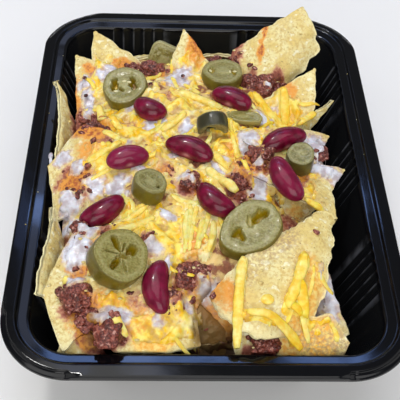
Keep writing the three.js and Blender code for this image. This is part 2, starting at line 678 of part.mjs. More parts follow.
// A kidney bean: a squashed ball bent sideways. grow makes it larger all round.
function beanGeometry({ at: [x, y], heading, tilt, length, bend }, surface, grow = 0) {
  const ball = new THREE.SphereGeometry(1, BEAN_SEGMENTS, BEAN_SEGMENTS - 2);
  ball.rotateY(Math.PI / 2);
  ball.rotateZ(Math.PI / 2);
  ball.scale(length / 2 + grow, BEAN_WIDTH / 2 + grow, BEAN_HEIGHT / 2 + grow);
  const position = ball.attributes.position;
  for (let k = 0; k < position.count; k += 1) {
    const along = position.getX(k) / (length / 2);
    position.setY(k, position.getY(k) + bend * (along * along - BEAN_LEVEL));
  }
  const z = surface(x, y) + BEAN_HEIGHT / 2 - SINK;
  return turned(ball, [x, y, z], heading, tilt);
}

// A slice of jalapeno: an uneven disc with seed holes through it. grow makes it
// larger all round and leaves the holes out.
function sliceGeometry(slice, surface, grow = 0) {
  const [radiusX, radiusY] = slice.radii;
  const rim = Array.from({ length: SLICE_SIDES }, (_, k) => {
    const angle = (k / SLICE_SIDES) * 2 * Math.PI;
    const swell = 1 + 0.03 * Math.sin(3 * angle + radiusX);
    const squared = (value) => Math.sign(value) * Math.abs(value) ** (slice.square ?? 1);
    return new THREE.Vector2(
      (radiusX * swell + grow) * squared(Math.cos(angle)),
      (radiusY * swell + grow) * squared(Math.sin(angle)),
    );
  });
  const shape = new THREE.Shape(rim);
  const holes = grow ? 0 : slice.holes;
  for (let hole = 0; hole < holes; hole += 1) {
    const around = (hole / holes) * 2 * Math.PI + 0.5;
    const centreX = HOLE_REACH * radiusX * Math.cos(around);
    const centreY = HOLE_REACH * radiusY * Math.sin(around);
    const ring = Array.from({ length: HOLE_SIDES }, (_, k) => {
      const angle = (-k / HOLE_SIDES) * 2 * Math.PI;
      return new THREE.Vector2(
        centreX + HOLE_SIZE * radiusX * Math.cos(angle),
        centreY + HOLE_SIZE * radiusY * Math.sin(angle),
      );
    });
    shape.holes.push(new THREE.Path(ring));
  }
  const depth = slice.thickness + 2 * grow;
  const disc = new THREE.ExtrudeGeometry(shape, { depth, bevelEnabled: false });
  disc.translate(0, 0, -slice.thickness - grow);
  disc.rotateZ(slice.spin * RAD);
  disc.rotateY(slice.tip * RAD);
  disc.rotateZ(slice.faces * RAD);
  const [x, y] = slice.at;
  const z = surface(x, y) + slice.thickness * Math.cos(slice.tip * RAD) + slice.lift - SINK;
  return disc.translate(x, y, z);
}

function join(geometries, start) {
  return geometries.reduce((whole, geometry) => whole.add(toManifold(geometry)), start);
}

const bareHeap = join(CHIPS.map(chipGeometry), toManifold(coreGeometry()));
const bareSurface = surfaceOf(toGeometry(bareHeap));
const melted = join(MELTS.map((melt) => meltGeometry(melt, bareSurface)), bareHeap);
const minced = join(MINCE.map((clump) => minceGeometry(clump, bareSurface)), melted);
const topped = join(SHREDS.map((shred) => shredGeometry(shred, bareSurface)), minced);
const toppingRoom = [
  ...BEANS.map((bean) => beanGeometry(bean, bareSurface, GAP)),
  ...SLICES.map((slice) => sliceGeometry(slice, bareSurface, GAP)),
];
const heap = toppingRoom.reduce(
  (whole, room) => whole.subtract(toManifold(room)),
  topped.asOriginal().simplify(SMOOTHING).intersect(toManifold(trayRoomGeometry())),
);

function named(name, geometry, color, roughness) {
  const mesh = new THREE.Mesh(geometry, new THREE.MeshStandardMaterial({ color, roughness, metalness: 0 }));
  mesh.name = name;
  return mesh;
}

const nachos = new THREE.Group();
nachos.add(named('tray', trayGeometry(), 0x0b0c10, 0.25));
nachos.add(named('heap', toGeometry(heap), 0xe3b64a, 0.6));
BEANS.forEach((bean, k) => {
  nachos.add(named(`bean_${k + 1}`, beanGeometry(bean, bareSurface), 0x5e1228, 0.25));
});
SLICES.forEach((slice, k) => {
  nachos.add(named(`jalapeno_${k + 1}`, sliceGeometry(slice, bareSurface), 0x76802f, 0.35));
});

export default nachos;
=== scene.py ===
"""Looks of the loaded nachos: tray, chips, filling, melted cheese, shreds, mince, beans, jalapenos.

The tables and the mesh code are in millimetres, in the shared frame: +X across the tray, +Y along
it, +Z up, from the middle of the tray's underside. mesh_object() turns them into metres.
"""
import math
import random
from itertools import product

import bmesh
import bpy
import numpy as np
from mathutils import Matrix, Vector
from mathutils.bvhtree import BVHTree


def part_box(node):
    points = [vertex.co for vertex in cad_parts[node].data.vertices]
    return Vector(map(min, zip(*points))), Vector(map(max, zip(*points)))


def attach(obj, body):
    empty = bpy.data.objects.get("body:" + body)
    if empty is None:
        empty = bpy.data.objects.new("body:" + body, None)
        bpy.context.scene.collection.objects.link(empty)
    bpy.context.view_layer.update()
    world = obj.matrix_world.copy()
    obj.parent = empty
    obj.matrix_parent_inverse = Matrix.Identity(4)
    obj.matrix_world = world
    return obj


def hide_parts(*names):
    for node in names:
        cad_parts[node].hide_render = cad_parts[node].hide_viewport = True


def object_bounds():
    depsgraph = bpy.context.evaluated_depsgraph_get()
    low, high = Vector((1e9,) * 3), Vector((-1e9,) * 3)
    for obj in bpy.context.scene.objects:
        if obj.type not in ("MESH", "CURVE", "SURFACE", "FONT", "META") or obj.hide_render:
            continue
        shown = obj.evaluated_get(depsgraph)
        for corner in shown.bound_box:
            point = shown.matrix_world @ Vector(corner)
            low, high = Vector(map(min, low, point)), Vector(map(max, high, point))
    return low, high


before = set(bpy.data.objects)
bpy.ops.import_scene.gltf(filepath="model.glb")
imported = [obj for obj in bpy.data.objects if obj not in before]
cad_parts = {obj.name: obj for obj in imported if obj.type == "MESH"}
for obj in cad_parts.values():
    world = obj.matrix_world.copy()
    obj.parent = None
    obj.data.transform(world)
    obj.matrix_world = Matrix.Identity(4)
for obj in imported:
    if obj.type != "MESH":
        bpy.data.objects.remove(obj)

cad_box = [list(corner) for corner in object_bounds()]

MM = 0.001
CEILING = cad_box[1][2] / MM - 0.05

# ---------------------------------------------------------------- tray sizes, as in the CAD
TRAY_WIDTH = 137
TRAY_LENGTH = 187
TRAY_HEIGHT = 50
TRAY_CORNER = 24
FOOT_CORNER = 6
SHEET = 0.8
FLANGE = 5
FLANGE_STEP = 1
RIM = 9.5
LIP_DROP = 2.5
CORNER_LIP = 1.9
WALL_DRAFT = 14
WALL_FOOT = 8
FLOOR_INSET = 30
FLUTE_PITCH = 4.6
FLUTE_DEPTH = 0.9
FLUTES = 5
LONG_FLUTES = (-48, 3, 50)
SHORT_FLUTES = (-28, 28)
LEDGE_Z = TRAY_HEIGHT - FLANGE_STEP
LEDGE_FALL = 0.45  # the ledge slopes down this much towards the food
WALL_TOP = RIM + 0.8
WALL_BOTTOM = RIM + WALL_DRAFT
FLOOR_RISE = (WALL_BOTTOM + FLOOR_INSET) / 2  # inset where the floor turns up to the wall
# How finely the tray is made.
SIDE_SAMPLES = 24
FLUTE_SAMPLES = 8
ARC_SAMPLES = 22
FILLET = 0.45
FILLET_STEPS = 3
SUPPORT = 0.25  # how far an extra ring lies from each end of a flat part

# ---------------------------------------------------------------- heap sizes, as in the CAD
GAP = 0.3
HEAP_TOP = 60
HEAP_CENTRE = (-6, -3)
HEAP_HALF = (47, 75)
HEAP_FALL = (15, 16)
HEAP_POWER = 2.6
HEAP_BUMPS = ((23, -55, 14, 15), (4, -78, -9, 10), (-28, 40, 2, 16), (28, 48, 3, 16))
HEAP_CORNER = 0.2
CORE_COLUMNS = 120
CORE_ROWS = 190
CORE_LEVELS = (  # how far the sides draw in along x and y at each level on their way down
    (1, 1, TRAY_HEIGHT * 0.8), (2, 2, TRAY_HEIGHT * 0.6), (9, 9, WALL_FOOT), (12, 13, SHEET + GAP))
CORE_STEPS = 8
CHIP_THICKNESS = 1.7
CHIP_BOW = 0.85
CHIP_ROWS = 42
CHIP_COLUMNS = 34
SHRED_WIDTH = 2.9
SHRED_THICKNESS = 2.0
SHRED_SIDES = 16
SHRED_STEP = 0.9
SHRED_STEEPNESS = 0.9  # the most that a shred rises or falls for its length
SHRED_SMOOTHING = 3
BEAN_WIDTH = 9.4
BEAN_HEIGHT = 8.2
BEAN_LEVEL = 0.4
BEAN_RINGS = 40
BEAN_SIDES = 44
SLICE_SIDES = 112
FACE_RINGS = 34
RIND_RINGS = 9
SEED_HALF = (0.95, 0.55, 0.4)
SEED_LEVEL = -0.35

# Tortilla chips: tip, heading, tilt, lean, length, width, curl, and what differs from a triangle.
CHIPS = (
    ((-46, 64, 61), 120, 26, -4, 46, 46, 3, {}),
    ((-53, 53, 56), 124, 10, -8, 42, 44, 3, {}),
    ((-61, 34, 59), 104, 26, 62, 44, 26, 3, {}),
    ((-59, -6, 51), 166, -8, -14, 44, 42, 2, {"shoulder": 0.2, "back": 0.5}),
    ((-56, -26, 52), 96, 12, 64, 36, 20, 2, {}),
    ((-55, -64, 51), 200, -5, -8, 44, 42, 3, {"shoulder": 0.2, "back": 0.5, "skew": 0.4}),
    ((-52, -69, 48), 120, 34, 58, 26, 20, 2, {}),
    ((-43, -71, 51), 92, 34, 4, 14, 18, 1, {}),
    ((-3, -79, 44), 330, -14, 2, 42, 38, 3, {"shoulder": 0.4, "back": 0.7}),
    # Painted shade: this standing chip is painted dark all over, as it lies in shadow under its
    # neighbour.
    ((-3, -64, 48), 108, 52, -10, 24, 28, 2, {"painted_shade": 1, "clean": 0.8}),
    ((41, -35.3, 60.5), 56, 8, 18, 43, 36, 4.4,
     {"skew": -0.27, "bulge": 0.26, "bow": 0.62, "ragged": 1.5, "blunt": 0.26, "clean": 0.75}),
    ((39, -43, 54), 92, 26, -22, 32, 16, 2, {}),
    ((46, -78, 46.5), 2, 6, 40, 36, 20, 2, {"shoulder": 0.14, "back": 0.8}),
    ((46, -33, 54), 305, -7, -12, 38, 40, 3, {}),
    ((48.5, 10.5, 53), 34, -8, 14, 34, 34, 3, {}),
    ((52.5, -7, 53), 30, -2, 26, 30, 26, 3, {}),
    ((42, 70, 71.5), 52, 33, 18, 40, 31, 5,
     {"shoulder": 0.52, "back": 0.8, "skew": -0.6, "ragged": 1.3}),
    ((46, 42, 61), 54, 28, 8, 38, 34, 3, {}),
    ((53, 32, 54), 44, 8, 64, 34, 11, 2, {}),
    ((-8, 61, 66), 106, 46, -18, 32, 32, 3, {}),
    ((-26, 78, 35), 112, -42, 6, 18, 30, 1, {}),
    ((12, 79, 34), 74, -44, -8, 18, 30, 1, {}),
)

# Kidney beans: middle in plan, heading, tilt, length and bend.
BEANS = (
    ((-21.5, 16.6), 330, 0, 14, 1), ((-29, -10), 16, 0, 16, -0.8), ((-37, -31), 33, 8, 18, 1),
    ((-6, -6), 335, 0, 19, -1.4), ((11, 24), 333, 0, 17, -0.8), ((29, -1), 22, 4, 18, -1),
    ((28, -22), 298, -14, 19, 1), ((2.6, -30.2), 315, -6, 17, 1.6), ((-17, -63), 272, -12, 19, 2),
)

# Jalapeno slices: middle of the face in plan, radii, thickness, the way the face looks, how far it
# tips that way, its spin, its tone (0 fresh olive, 1 dark and grey) and its seed hollows: angle in
# the slice, distance from the middle, half length along the radius, half width and depth, where
# all but the angle are shares of the radius and the depth is a share of the thickness.
SLICES = (
    ((-32, 31), (9.2, 8.8), 8, 231, 13, 49, 0.3,
     ((262, 0.42, 0.17, 0.26, 0.6), (306, 0.26, 0.1, 0.2, 0.4), (232, 0.5, 0.11, 0.14, 0.9),
      (88, 0.34, 0.16, 0.28, 0.92), (112, 0.44, 0.11, 0.2, 0.92), (58, 0.5, 0.13, 0.14, 0.66))),
    ((8, 42), (9.2, 8.2), 5, 80, 8, 0, 0.25,
     ((100, 0.56, 0.16, 0.24, 0.35), (280, 0.56, 0.15, 0.24, 0.35), (190, 0.2, 0.12, 0.3, 0.15))),
    ((3, 4), (6.2, 5.8), 6, 275, 108, 0, 1.0,
     ((300, 0.5, 0.25, 0.35, 0.7), (210, 0.45, 0.3, 0.3, 0.7), (20, 0.5, 0.2, 0.3, 0.5))),
    ((15, 16), (7.6, 2.8), 2.4, 200, 6, 328, 0.1, ((20, 0.5, 0.1, 0.2, 0.2),)),
    ((-20, -24), (5.8, 6.4), 6.5, 20, 14, 0, 0.5,
     ((300, 0.55, 0.1, 0.12, 0.6), (130, 0.4, 0.2, 0.16, 0.12), (40, 0.4, 0.2, 0.16, 0.1))),
    ((34, -12), (5.2, 5), 7.5, 250, 8, 0, 0.88, ((120, 0.3, 0.3, 0.2, 0.06),)),
    ((-28.8, -56.5), (9.3, 9.6), 9, 330, 26, 350, 0.1,
     ((160, 0.46, 0.34, 0.12, 0.55), (77, 0.42, 0.24, 0.18, 0.6), (285, 0.42, 0.32, 0.12, 0.55),
      (30, 0.12, 0.2, 0.1, 0.3), (120, 0.3, 0.16, 0.05, 0.26), (215, 0.36, 0.26, 0.05, 0.2),
      (330, 0.34, 0.24, 0.05, 0.2), (255, 0.2, 0.1, 0.05, 0.3))),
    ((14, -45), (11.6, 9.2), 7.5, 240, 10, 163, 0.2,
     ((10, 0.48, 0.32, 0.24, 0.62), (170, 0.44, 0.17, 0.27, 0.62), (60, 0.2, 0.2, 0.12, 0.22))),
    ((-16.6, 59.5), (7.6, 6.8), 5, 262, 58, 342, 0.1, ((20, 0.1, 0.7, 0.6, 0.12),)),
)

PALE_BEANS = {2: 0.4, 7: 0.25, 9: 0.15}  # how pale the skin of a bean is
SQUARED = {9: 0.5, 4: 0.72}  # cut-off pieces of pepper, nearly rectangular
# Pale seeds: slice, angle and distance from the middle as in the table of slices, and heading.
SEEDS = (
    (1, 168, 0.2, 80), (1, 300, 0.5, 70), (1, 112, 0.26, 60), (2, 100, 0.62, 30),
    (2, 280, 0.6, 100), (2, 275, 0.36, 10), (3, 300, 0.6, 50),
)

# Cheddar shreds: start in plan, heading, length, curve and size; then how orange the shred is.
SHREDS = (
    ((-42, 25), 280, 13, 10, 1.2, 0.3), ((-44, -8), 24, 14, 12, 1.1, 0.5),
    ((-37, 16), 300, 10, 0, 1, 0.4), ((-10, 29), 350, 20, -46, 1.1, 0.05),
    ((20, 31), 308, 22, 6, 1.3, 0.6), ((32, 34), 276, 16, -8, 1.2, 0.7),
    ((37, 16), 40, 11, 10, 1, 0.6), ((10, 13), 268, 32, 24, 0.7, 0.6),
    ((0, -14), 316, 15, 0, 1.3, 0.1), ((-34, -40), 32, 16, 10, 0.9, 0.3),
    ((-33, -45), 28, 17, 8, 0.9, 0.2), ((-7, -32), 262, 17, 14, 0.8, 0.1),
    ((-1, -36), 250, 14, 20, 0.8, 0.2), ((2, -37), 270, 14, -20, 0.8, 0),
    ((11, -57), 258, 27, 14, 1.2, 0.35), ((31.5, -55.5), 254, 18, -12, 1.3, 0.6),
    ((29.5, -64), 275, 10, 8, 1.4, 0.8), ((26, -71), 350, 5, -30, 1.2, 0.9),
    ((-6, -30), 268, 20, -10, 0.7, 0.15), ((-3, -28), 255, 22, 12, 0.65, 0.2),
    ((1, -30), 262, 20, -16, 0.7, 0.1), ((4, -35), 280, 15, 20, 0.65, 0.3),
    ((-9, -34), 300, 14, 20, 0.6, 0.4), ((11.5, -75.4), 4, 20, -50, 1.25, 0.7),
    ((35, -27), 330, 12, 0, 0.9, 0.5), ((-13, -27), 340, 12, 16, 0.9, 0.1),
    ((0, -5), 320, 11, -10, 0.9, 0.2), ((-17, 7), 30, 12, 18, 0.9, 0.3),
)

# Round drops of melted cheese: middle in plan, half sizes and how orange the drop is.
DROPS = (((18.4, -70.4), (2.2, 2.0, 1.0), 0.4),)

# Clumps of minced meat: middle in plan and radius.
MINCE = (
    (-22, 49, 5), (-29, 47, 4), (-45, 20, 5), (-38, 12, 4), (-44, -67, 6), (-31.5, -78, 6),
    (19, 42, 4), (25, 41, 5), (32, 41, 5), (20, -9, 5), (11, -19, 5), (-6, -20, 4), (-5, -57, 5),
    (18, -80, 5, 46.5), (42, -3, 4), (-22, -46, 4), (-14, -66, 4), (5, 56, 4), (-39, -74, 4),
    (-45, -39, 3),
)
CLUMP_HEIGHT = 0.65  # as a share of its radius
CLUMP_GRAIN = 1.8
BIT_GRAIN = 1.5
CRUMB_GRAIN = 1.0

# Melted cheese of the CAD heap: middle in plan and radius.
MELTS = (
    (-48, 30, 6), (-40, 44, 6), (-5, 43, 8), (-19, 15, 7), (-6, 8, 6), (16, 2, 6), (19, -22, 6),
    (-38, -19, 7), (-45, -48, 9), (-46, -62, 4), (-32, -72, 7), (42, -1, 6), (-1, -62, 4),
    (-13, -48, 8), (-24, 1, 9), (-12, -36, 8), (-20, -72, 9), (0, 18, 8), (40, -60, 6), (30, 10, 6),
)

# Patches in plan: middle, half width, half length and strength.
MOZZARELLA = (
    (-39, 41, 4, 5, 1), (-49, 38, 3, 3, 1), (-46, 26, 3.2, 8, 1), (-11, 41, 6, 6, 1),
    (-19, 14, 3.2, 8, 1), (-8, 8, 3.2, 5, 1), (-21, 9, 3, 3, 1), (-54, -5, 3, 4, 1),
    (-47, -9, 3, 3, 0.8), (-41, -19, 4, 5, 1), (-32, -20, 4, 5, 1), (-8, -19, 3, 2, 0.8),
    (14, 30, 2, 2, 1), (27, 37, 2, 3, 0.9), (23, 18, 3, 4, 1), (15, 0, 3.2, 5, 1),
    (5, -11, 4, 3, 1), (18, -23, 3, 5, 1), (19, -14, 2, 2.5, 0.8), (43, 0, 7, 9, 1),
    (44, -12, 7, 4, 1), (-48.5, -31, 3.5, 3, 1), (-42, -41, 4, 2.5, 0.9), (-45, -50, 5, 7, 1),
    (-44, -62, 4, 3, 1), (-31, -74, 6, 2.4, 0.9), (-17, -75, 3, 3, 0.7), (-14, -55, 2, 3.5, 1),
    (-19, -49, 3, 3, 0.9), (-14, -35, 3, 2, 1), (0, -61, 3, 3, 0.9), (-6, -68, 2.4, 2.6, 0.7),
    (41, -62, 4.5, 11, 0.8), (-11, -8, 3, 2, 0.8), (-30, 30, 3, 4, 0.8), (30, 26, 2, 3, 0.6),
    (-24, -14, 3, 3, 0.9), (-30, -1, 3, 2.4, 0.8), (24, 8, 3, 3, 0.7), (-28, 22, 3, 3, 0.8),
    (-50, -24, 4, 4, 1),
)
CHEDDAR = (
    (-44, 40, 1.8, 11, 0.9), (-27, 9, 8, 6, 1), (-20, 3, 3, 3, 1), (-36, -6, 7, 6, 0.8),
    (-40, -14, 3, 6, 0.7), (-8, 28, 8, 4, 0.7), (-6, 20, 4, 4, 0.7), (12, -4, 3, 5, 1),
    (18, -2, 3, 4, 1), (10, 8, 3, 7, 0.8), (4, 21, 5, 3, 0.7), (-14, -41, 6, 7, 1),
    (-19, -78, 8, 6, 1), (-31, -70, 6, 3, 0.7), (-6, -61, 5, 6, 0.5), (33, -30, 5, 5, 0.7),
    (33, -78, 9, 8, 1), (34, -64, 5, 11, 0.8), (-24, -34, 6, 5, 0.6), (-6, -31, 4, 5, 0.6),
    (-26, -48, 4, 3, 0.5), (22, -28, 3, 4, 0.7), (5, 0, 3, 5, 0.9), (-10, -50, 4, 5, 0.6),
    (35, 22, 4, 7, 0.7), (-24, -10, 4, 5, 0.8), (-3, -20, 5, 5, 0.6), (26, 10, 5, 5, 0.7),
    (38, -20, 4, 4, 0.6),
)
SAUCE = (
    (-34, 49, 5.5, 3.6, 0.75), (-47, 45, 2.5, 3, 0.7), (-52, 32, 2.5, 9, 0.7), (-43, 9, 8, 7, 0.8),
    (-44, -2, 6, 5, 0.55), (-48, -16, 6, 6, 0.8), (9, -1, 3, 8, 0.6), (-44, -39, 4, 4, 0.8),
    (-44, -57, 3, 3, 0.8), (-38, -76, 5, 4, 0.9), (-5, -45, 4, 7, 0.7), (-1, -65, 5, 5, 0.6),
    (2, -66, 2.5, 5, 0.6), (25.5, 61, 1.6, 4.5, 0.9), (23.5, 52, 1.6, 5, 0.9),
    (21, 63, 8, 2.5, 0.3), (-3, 54, 4, 6, 0.8), (34, 34, 4, 5, 0.6), (-10, -64, 4, 4, 0.4),
    (-23, -75, 5, 5, 0.5), (33, -16, 4, 5, 0.6), (16, -5, 4, 5, 0.6), (0, -26, 4, 5, 0.6),
    (43, -6, 4, 4, 0.6), (-17, -14, 4, 4, 0.6), (4, -70, 2.5, 5, 0.4), (8, 47, 6, 5, 0.6),
    (-20, 46, 9, 6, 0.7), (26, 40, 9, 5, 0.45), (-41, -50, 7, 9, 0.45), (-36, -72, 12, 8, 0.5),
    (14, -14, 9, 9, 0.5), (6, -68, 4, 5, 0.6),
)
# Mince film. Its strongest spots also paint the food near black where it lies in shadow, which is
# painted shade.
MEAT_AND_SHADE = (
    (-25, 47, 9, 5, 1), (-47, 44, 2, 2, 0.8), (-43, 15, 6, 7, 1), (-46, 9, 5, 4, 1),
    (-48, -14, 6.5, 6.5, 1.05), (-15, -14, 3, 3, 0.7), (-7, -21, 5, 4, 1), (13, 56, 5, 5, 0.8),
    (21, 40, 5, 6, 1), (30, 41, 6, 5, 1), (19, -12, 6, 7, 1), (11, -21, 5, 8, 1),
    (43, -5, 4, 4, 0.9), (-44, -39, 3, 4, 0.9), (-36, -41, 4, 3, 0.7), (-44, -57, 3, 3, 0.8),
    (-43, -69, 6, 6, 1), (-33, -79, 8, 5, 1), (-39, -74, 4, 4, 1), (-12, -65, 4, 3, 0.8),
    (-21, -47, 3, 4, 0.9), (-6, -58, 5, 5, 1.1), (30, -32, 3, 3, 0.8), (-3, -9, 3, 3, 0.7),
    (12, 50, 3, 4, 0.7), (34, -17, 3, 4, 0.8), (-14, 27, 3, 3, 0.6), (0, -64, 5, 6, 0.6),
    (-30, 12, 4, 3, 0.5), (-16, 46, 5, 4, 0.5), (-50, 20, 3, 8, 0.8), (-20, -68, 3, 4, 0.5),
    (26, 4, 3, 3, 0.5), (-12, 45, 3, 3, 0.8), (-39, 3, 4, 3, 0.9), (-39, -76, 5, 5, 1.2),
    (14, -81, 4, 2, 0.8), (-46, -22, 4, 4, 0.8), (-45, -39, 4.5, 4, 1.1), (-24, -68, 3, 4, 0.6),
    (-44, -48, 5, 6, 0.55),
)
# Cream-coloured melted cheese that covers most of the chips below the toppings.
CREAM = (
    (-30, 22, 12, 14, 0.8), (-10, 20, 14, 16, 0.8), (8, 14, 12, 14, 0.8), (20, 12, 12, 12, 0.8),
    (-30, -8, 16, 12, 0.8), (-10, -10, 14, 14, 0.8), (8, -18, 12, 12, 0.8), (26, 20, 9, 12, 0.7),
    (-30, -36, 14, 9, 0.8), (-12, -38, 12, 12, 0.8), (-40, -50, 9, 9, 0.7), (-20, -50, 10, 10, 0.8),
    (-10, -66, 10, 12, 0.8), (-26, -72, 12, 8, 0.8), (-12, -78, 12, 6, 0.8), (-34, 38, 12, 12, 0.7),
    (-10, 42, 10, 9, 0.8), (4, 46, 10, 5, 0.7), (36, 2, 9, 10, 0.7), (30, -22, 10, 9, 0.7),
    (2, -34, 8, 12, 0.8), (40, -8, 8, 8, 0.7),
)
# Painted shade: spots painted dark where the food lies in shadow, in gaps between the chips and
# under a slice.
PAINTED_SHADE_PATCHES = (
    (-1, -72, 4.5, 10, 1), (-38, -77, 3, 3, 0.8), (3, 1, 5, 2, 0.9),
)
TOAST = (
    (22, -50, 8, 6, 1), (14, -60, 5, 7, 0.5), (30, -58, 5, 5, 0.4), (34, 60, 4, 5, 0.3),
    (38, -80, 10, 6, 0.9),
)
# Chips and spots that stay free of melted cheese.
BARE = (
    (18, -62, 18, 20, 1.2), (34, -79, 10, 5, 0.8), (38, 56, 14, 14, 1), (-52, 12, 5, 8, 0.5),
    (47, 34, 8, 12, 0.8), (44, -26, 6, 12, 0.8), (-54, -66, 6, 18, 0.7), (15, 16, 8, 3.4, 1.3),
)
# A white drip over the left edge: middle, half sizes and heading of its drops.
DRIP = (
    ((-58.9, 0.4, 51.2), (0.9, 1.6, 0.7), 0), ((-58.5, -2.9, 51.4), (0.7, 2.7, 0.6), 8),
    ((-57.7, -6.6, 51.7), (1.1, 2.4, 0.7), 14),
)
STRANDS = 260
CHEESE_CELL = 0.6
CHEESE_X = (-60, 56)
CHEESE_Y = (-86, 62)
CLIFF_REACH = 3  # cells round a place in which a drop of the ground counts as a cliff
BLUR_ROUNDS = 3
SHORT_SHREDS = 40
MINCE_CRUMBS = 150
RIM_CRUMBS = 9
HEAP_CRUMBS = 120
CHARRED_HALF = (0.9, 0.9, 0.63)
CHARRED_LIFT = 1.2
CHARRED = ((-8.4, 40.3), (-21.3, 32.4), (-47.3, 29.4), (-48.4, 38.3), (-14.5, -62.5))

# Patches by name: their table, the seed of their wandering edges and how soft these are.
MELTED = tuple((x, y, radius, radius, 0.8) for x, y, radius in MELTS)
PATCHES = {
    "sauce": (SAUCE, 11, 0.55), "toast": (TOAST, 14, 0.55), "meat": (MEAT_AND_SHADE, 31, 0.55),
    "white": (MOZZARELLA, 21, 0.7), "cream": (MELTED + CREAM, 23, 0.55),
    "yellow": (CHEDDAR, 22, 0.55), "yellow_below": (CHEDDAR, 12, 0.55),
    "cheesy": (CHEDDAR + CREAM, 22, 0.55), "bare": (BARE, 27, 0.2), "painted_shade": (PAINTED_SHADE_PATCHES, 33, 0.55),
}

# ---------------------------------------------------------------- camera and light
# The camera was solved from the tray's rim and the tips of the chips in the photo.
CAMERA_PLACE = (-14.9, -221.3, 280.0)
CAMERA_PITCH = 48.74  # degrees below the level
CAMERA_YAW = 3.63  # degrees from +Y towards +X
CAMERA_ROLL = 3.48
CAMERA_LENS = 74.4
CAMERA_SENSOR = 36
LAMP_AIM = (0, 0, 0.05)
WARM = (1, 0.99, 0.97)
BLUE = (0.26, 0.44, 1.0)
# Lamps in metres: name, place, width, power, colour and, for a rectangle, height. The near part of
# the rim mirrors the blue cards and the glows.
LAMPS = (
    ("overhead", (-0.06, 0.04, 1.2), 0.9, 4.8, WARM),
    ("key", (-0.3, 0.34, 1.1), 0.1, 2.8, WARM),
    ("left_fill", (-1.0, -0.25, 0.85), 0.8, 1.7, WARM),
    ("right_fill", (1.0, -0.2, 0.85), 0.8, 1.7, WARM),
    ("front_fill", (0.0, -1.2, 0.8), 1.1, 11.5, WARM),
    ("window", (0.0, 1.2, 0.42), 1.0, 0.8, (0.95, 0.97, 1.0), 0.06),
    ("blue_card_left", (-0.031, 0.356, 0.502), 0.238, 0.18, BLUE, 0.028),
    ("blue_card_right", (0.151, 0.356, 0.502), 0.078, 0.06, BLUE, 0.028),
    ("ledge_glow", (-0.045, 0.345, 0.51), 0.05, 0.09, (0.55, 0.65, 1.0), 0.36),
    ("flange_glow", (-0.167, 0.345, 0.51), 0.03, 0.04, (0.3, 0.45, 1.0), 0.36),
)
FLOOR_HALF = 1600
FLOOR_CELLS = 12


# ================================================================ numbers
def lattice(cells, seed):
    """A number from -1 to 1 for each whole-numbered cell."""
    key = cells @ np.array([374761393, 668265263, 1442695041]) + seed * 97463
    key = (key ^ (key >> 13)) * 1274126177
    key = key ^ (key >> 16)
    return (key & 0xFFFF) / 32767.5 - 1


def noise(points, size, seed):
    """Smooth noise from -1 to 1 at each point, in lumps of a size."""
    place = np.asarray(points, float) / size
    cell = np.floor(place).astype(np.int64)
    part = place - cell
    part = part * part * (3 - 2 * part)
    total = np.zeros(len(place))
    for corner in product((0, 1), repeat=3):
        share = np.prod(np.where(corner, part, 1 - part), axis=1)
        total += share * lattice(cell + np.array(corner), seed)
    return total


def grains(points, size, seed):
    """Distance to the nearest of many scattered middles, as a share of their spacing."""
    place = np.asarray(points, float) / size
    cell = np.floor(place).astype(np.int64)
    nearest = np.full(len(place), 9.0)
    for corner in product((-1, 0, 1), repeat=3):
        near = cell + np.array(corner)
        shifts = [lattice(near, seed + 31 * axis) for axis in range(3)]
        middle = near + 0.5 + 0.45 * np.stack(shifts, axis=1)
        nearest = np.minimum(nearest, np.linalg.norm(place - middle, axis=1))
    return nearest


def smoothstep(low, high, value):
    share = np.clip((value - low) / (high - low), 0, 1)
    return share * share * (3 - 2 * share)


def flat_grid(first, second):
    """Each pair of two rows of numbers, as two flat arrays in the order of grid_faces."""
    return [values.reshape(-1) for values in np.meshgrid(first, second, indexing="ij")]


def squared_circle(around, power):
    """Points of the unit circle, drawn out to a rounded square by a power below 1."""
    circle = np.stack([np.cos(around), np.sin(around)], axis=-1)
    return np.sign(circle) * np.abs(circle) ** power


def flat_points(x, y):
    return np.stack([x, y, np.zeros_like(x)], axis=1)


def patch(points, name):
    """How strongly places in plan lie in the patches of a name, whose edges wander."""
    table, seed, softness = PATCHES[name]
    x = points[:, 0]
    y = points[:, 1]
    flat = flat_points(x, y)
    wander_x = 1.6 * noise(flat, 4, seed) + 0.8 * noise(flat, 1.6, seed + 1)
    wander_y = 1.6 * noise(flat, 4, seed + 2) + 0.8 * noise(flat, 1.6, seed + 3)
    total = np.zeros(len(x))
    for middle_x, middle_y, half_x, half_y, strength in table:
        reach = np.hypot((x - middle_x + wander_x) / half_x, (y - middle_y + wander_y) / half_y)
        total = np.maximum(total, strength * (1 - smoothstep(1 - softness, 1 + softness, reach)))
    return total


def turned(points, place, heading, tilt=0, lean=0):
    """Points of a piece modelled along +X, after its lean, tilt, heading and place."""
    turn = (
        Matrix.Rotation(math.radians(heading), 3, "Z")
        @ Matrix.Rotation(math.radians(-tilt), 3, "Y")
        @ Matrix.Rotation(math.radians(lean), 3, "X")
    )
    return points @ np.array(turn).T + np.array(place)


# ================================================================ meshes
class Bundle:
    """Meshes joined into one, with a number at each vertex for every named mark."""

    def __init__(self, *marks):
        self.points = []
        self.faces = []
        self.marks = {mark: [] for mark in marks}
        self.count = 0

    def add(self, points, faces, **marks):
        self.points.append(points)
        self.faces.extend((np.asarray(part) + self.count).tolist() for part in faces)
        for mark, values in self.marks.items():
            values.append(np.broadcast_to(marks.get(mark, 0.0), len(points)))
        self.count += len(points)

    def all_points(self):
        return np.concatenate(self.points)

    def all_faces(self):
        return [face for part in self.faces for face in part]


def linked(name, data):
    made = bpy.data.objects.new(name, data)
    bpy.context.scene.collection.objects.link(made)
    return made


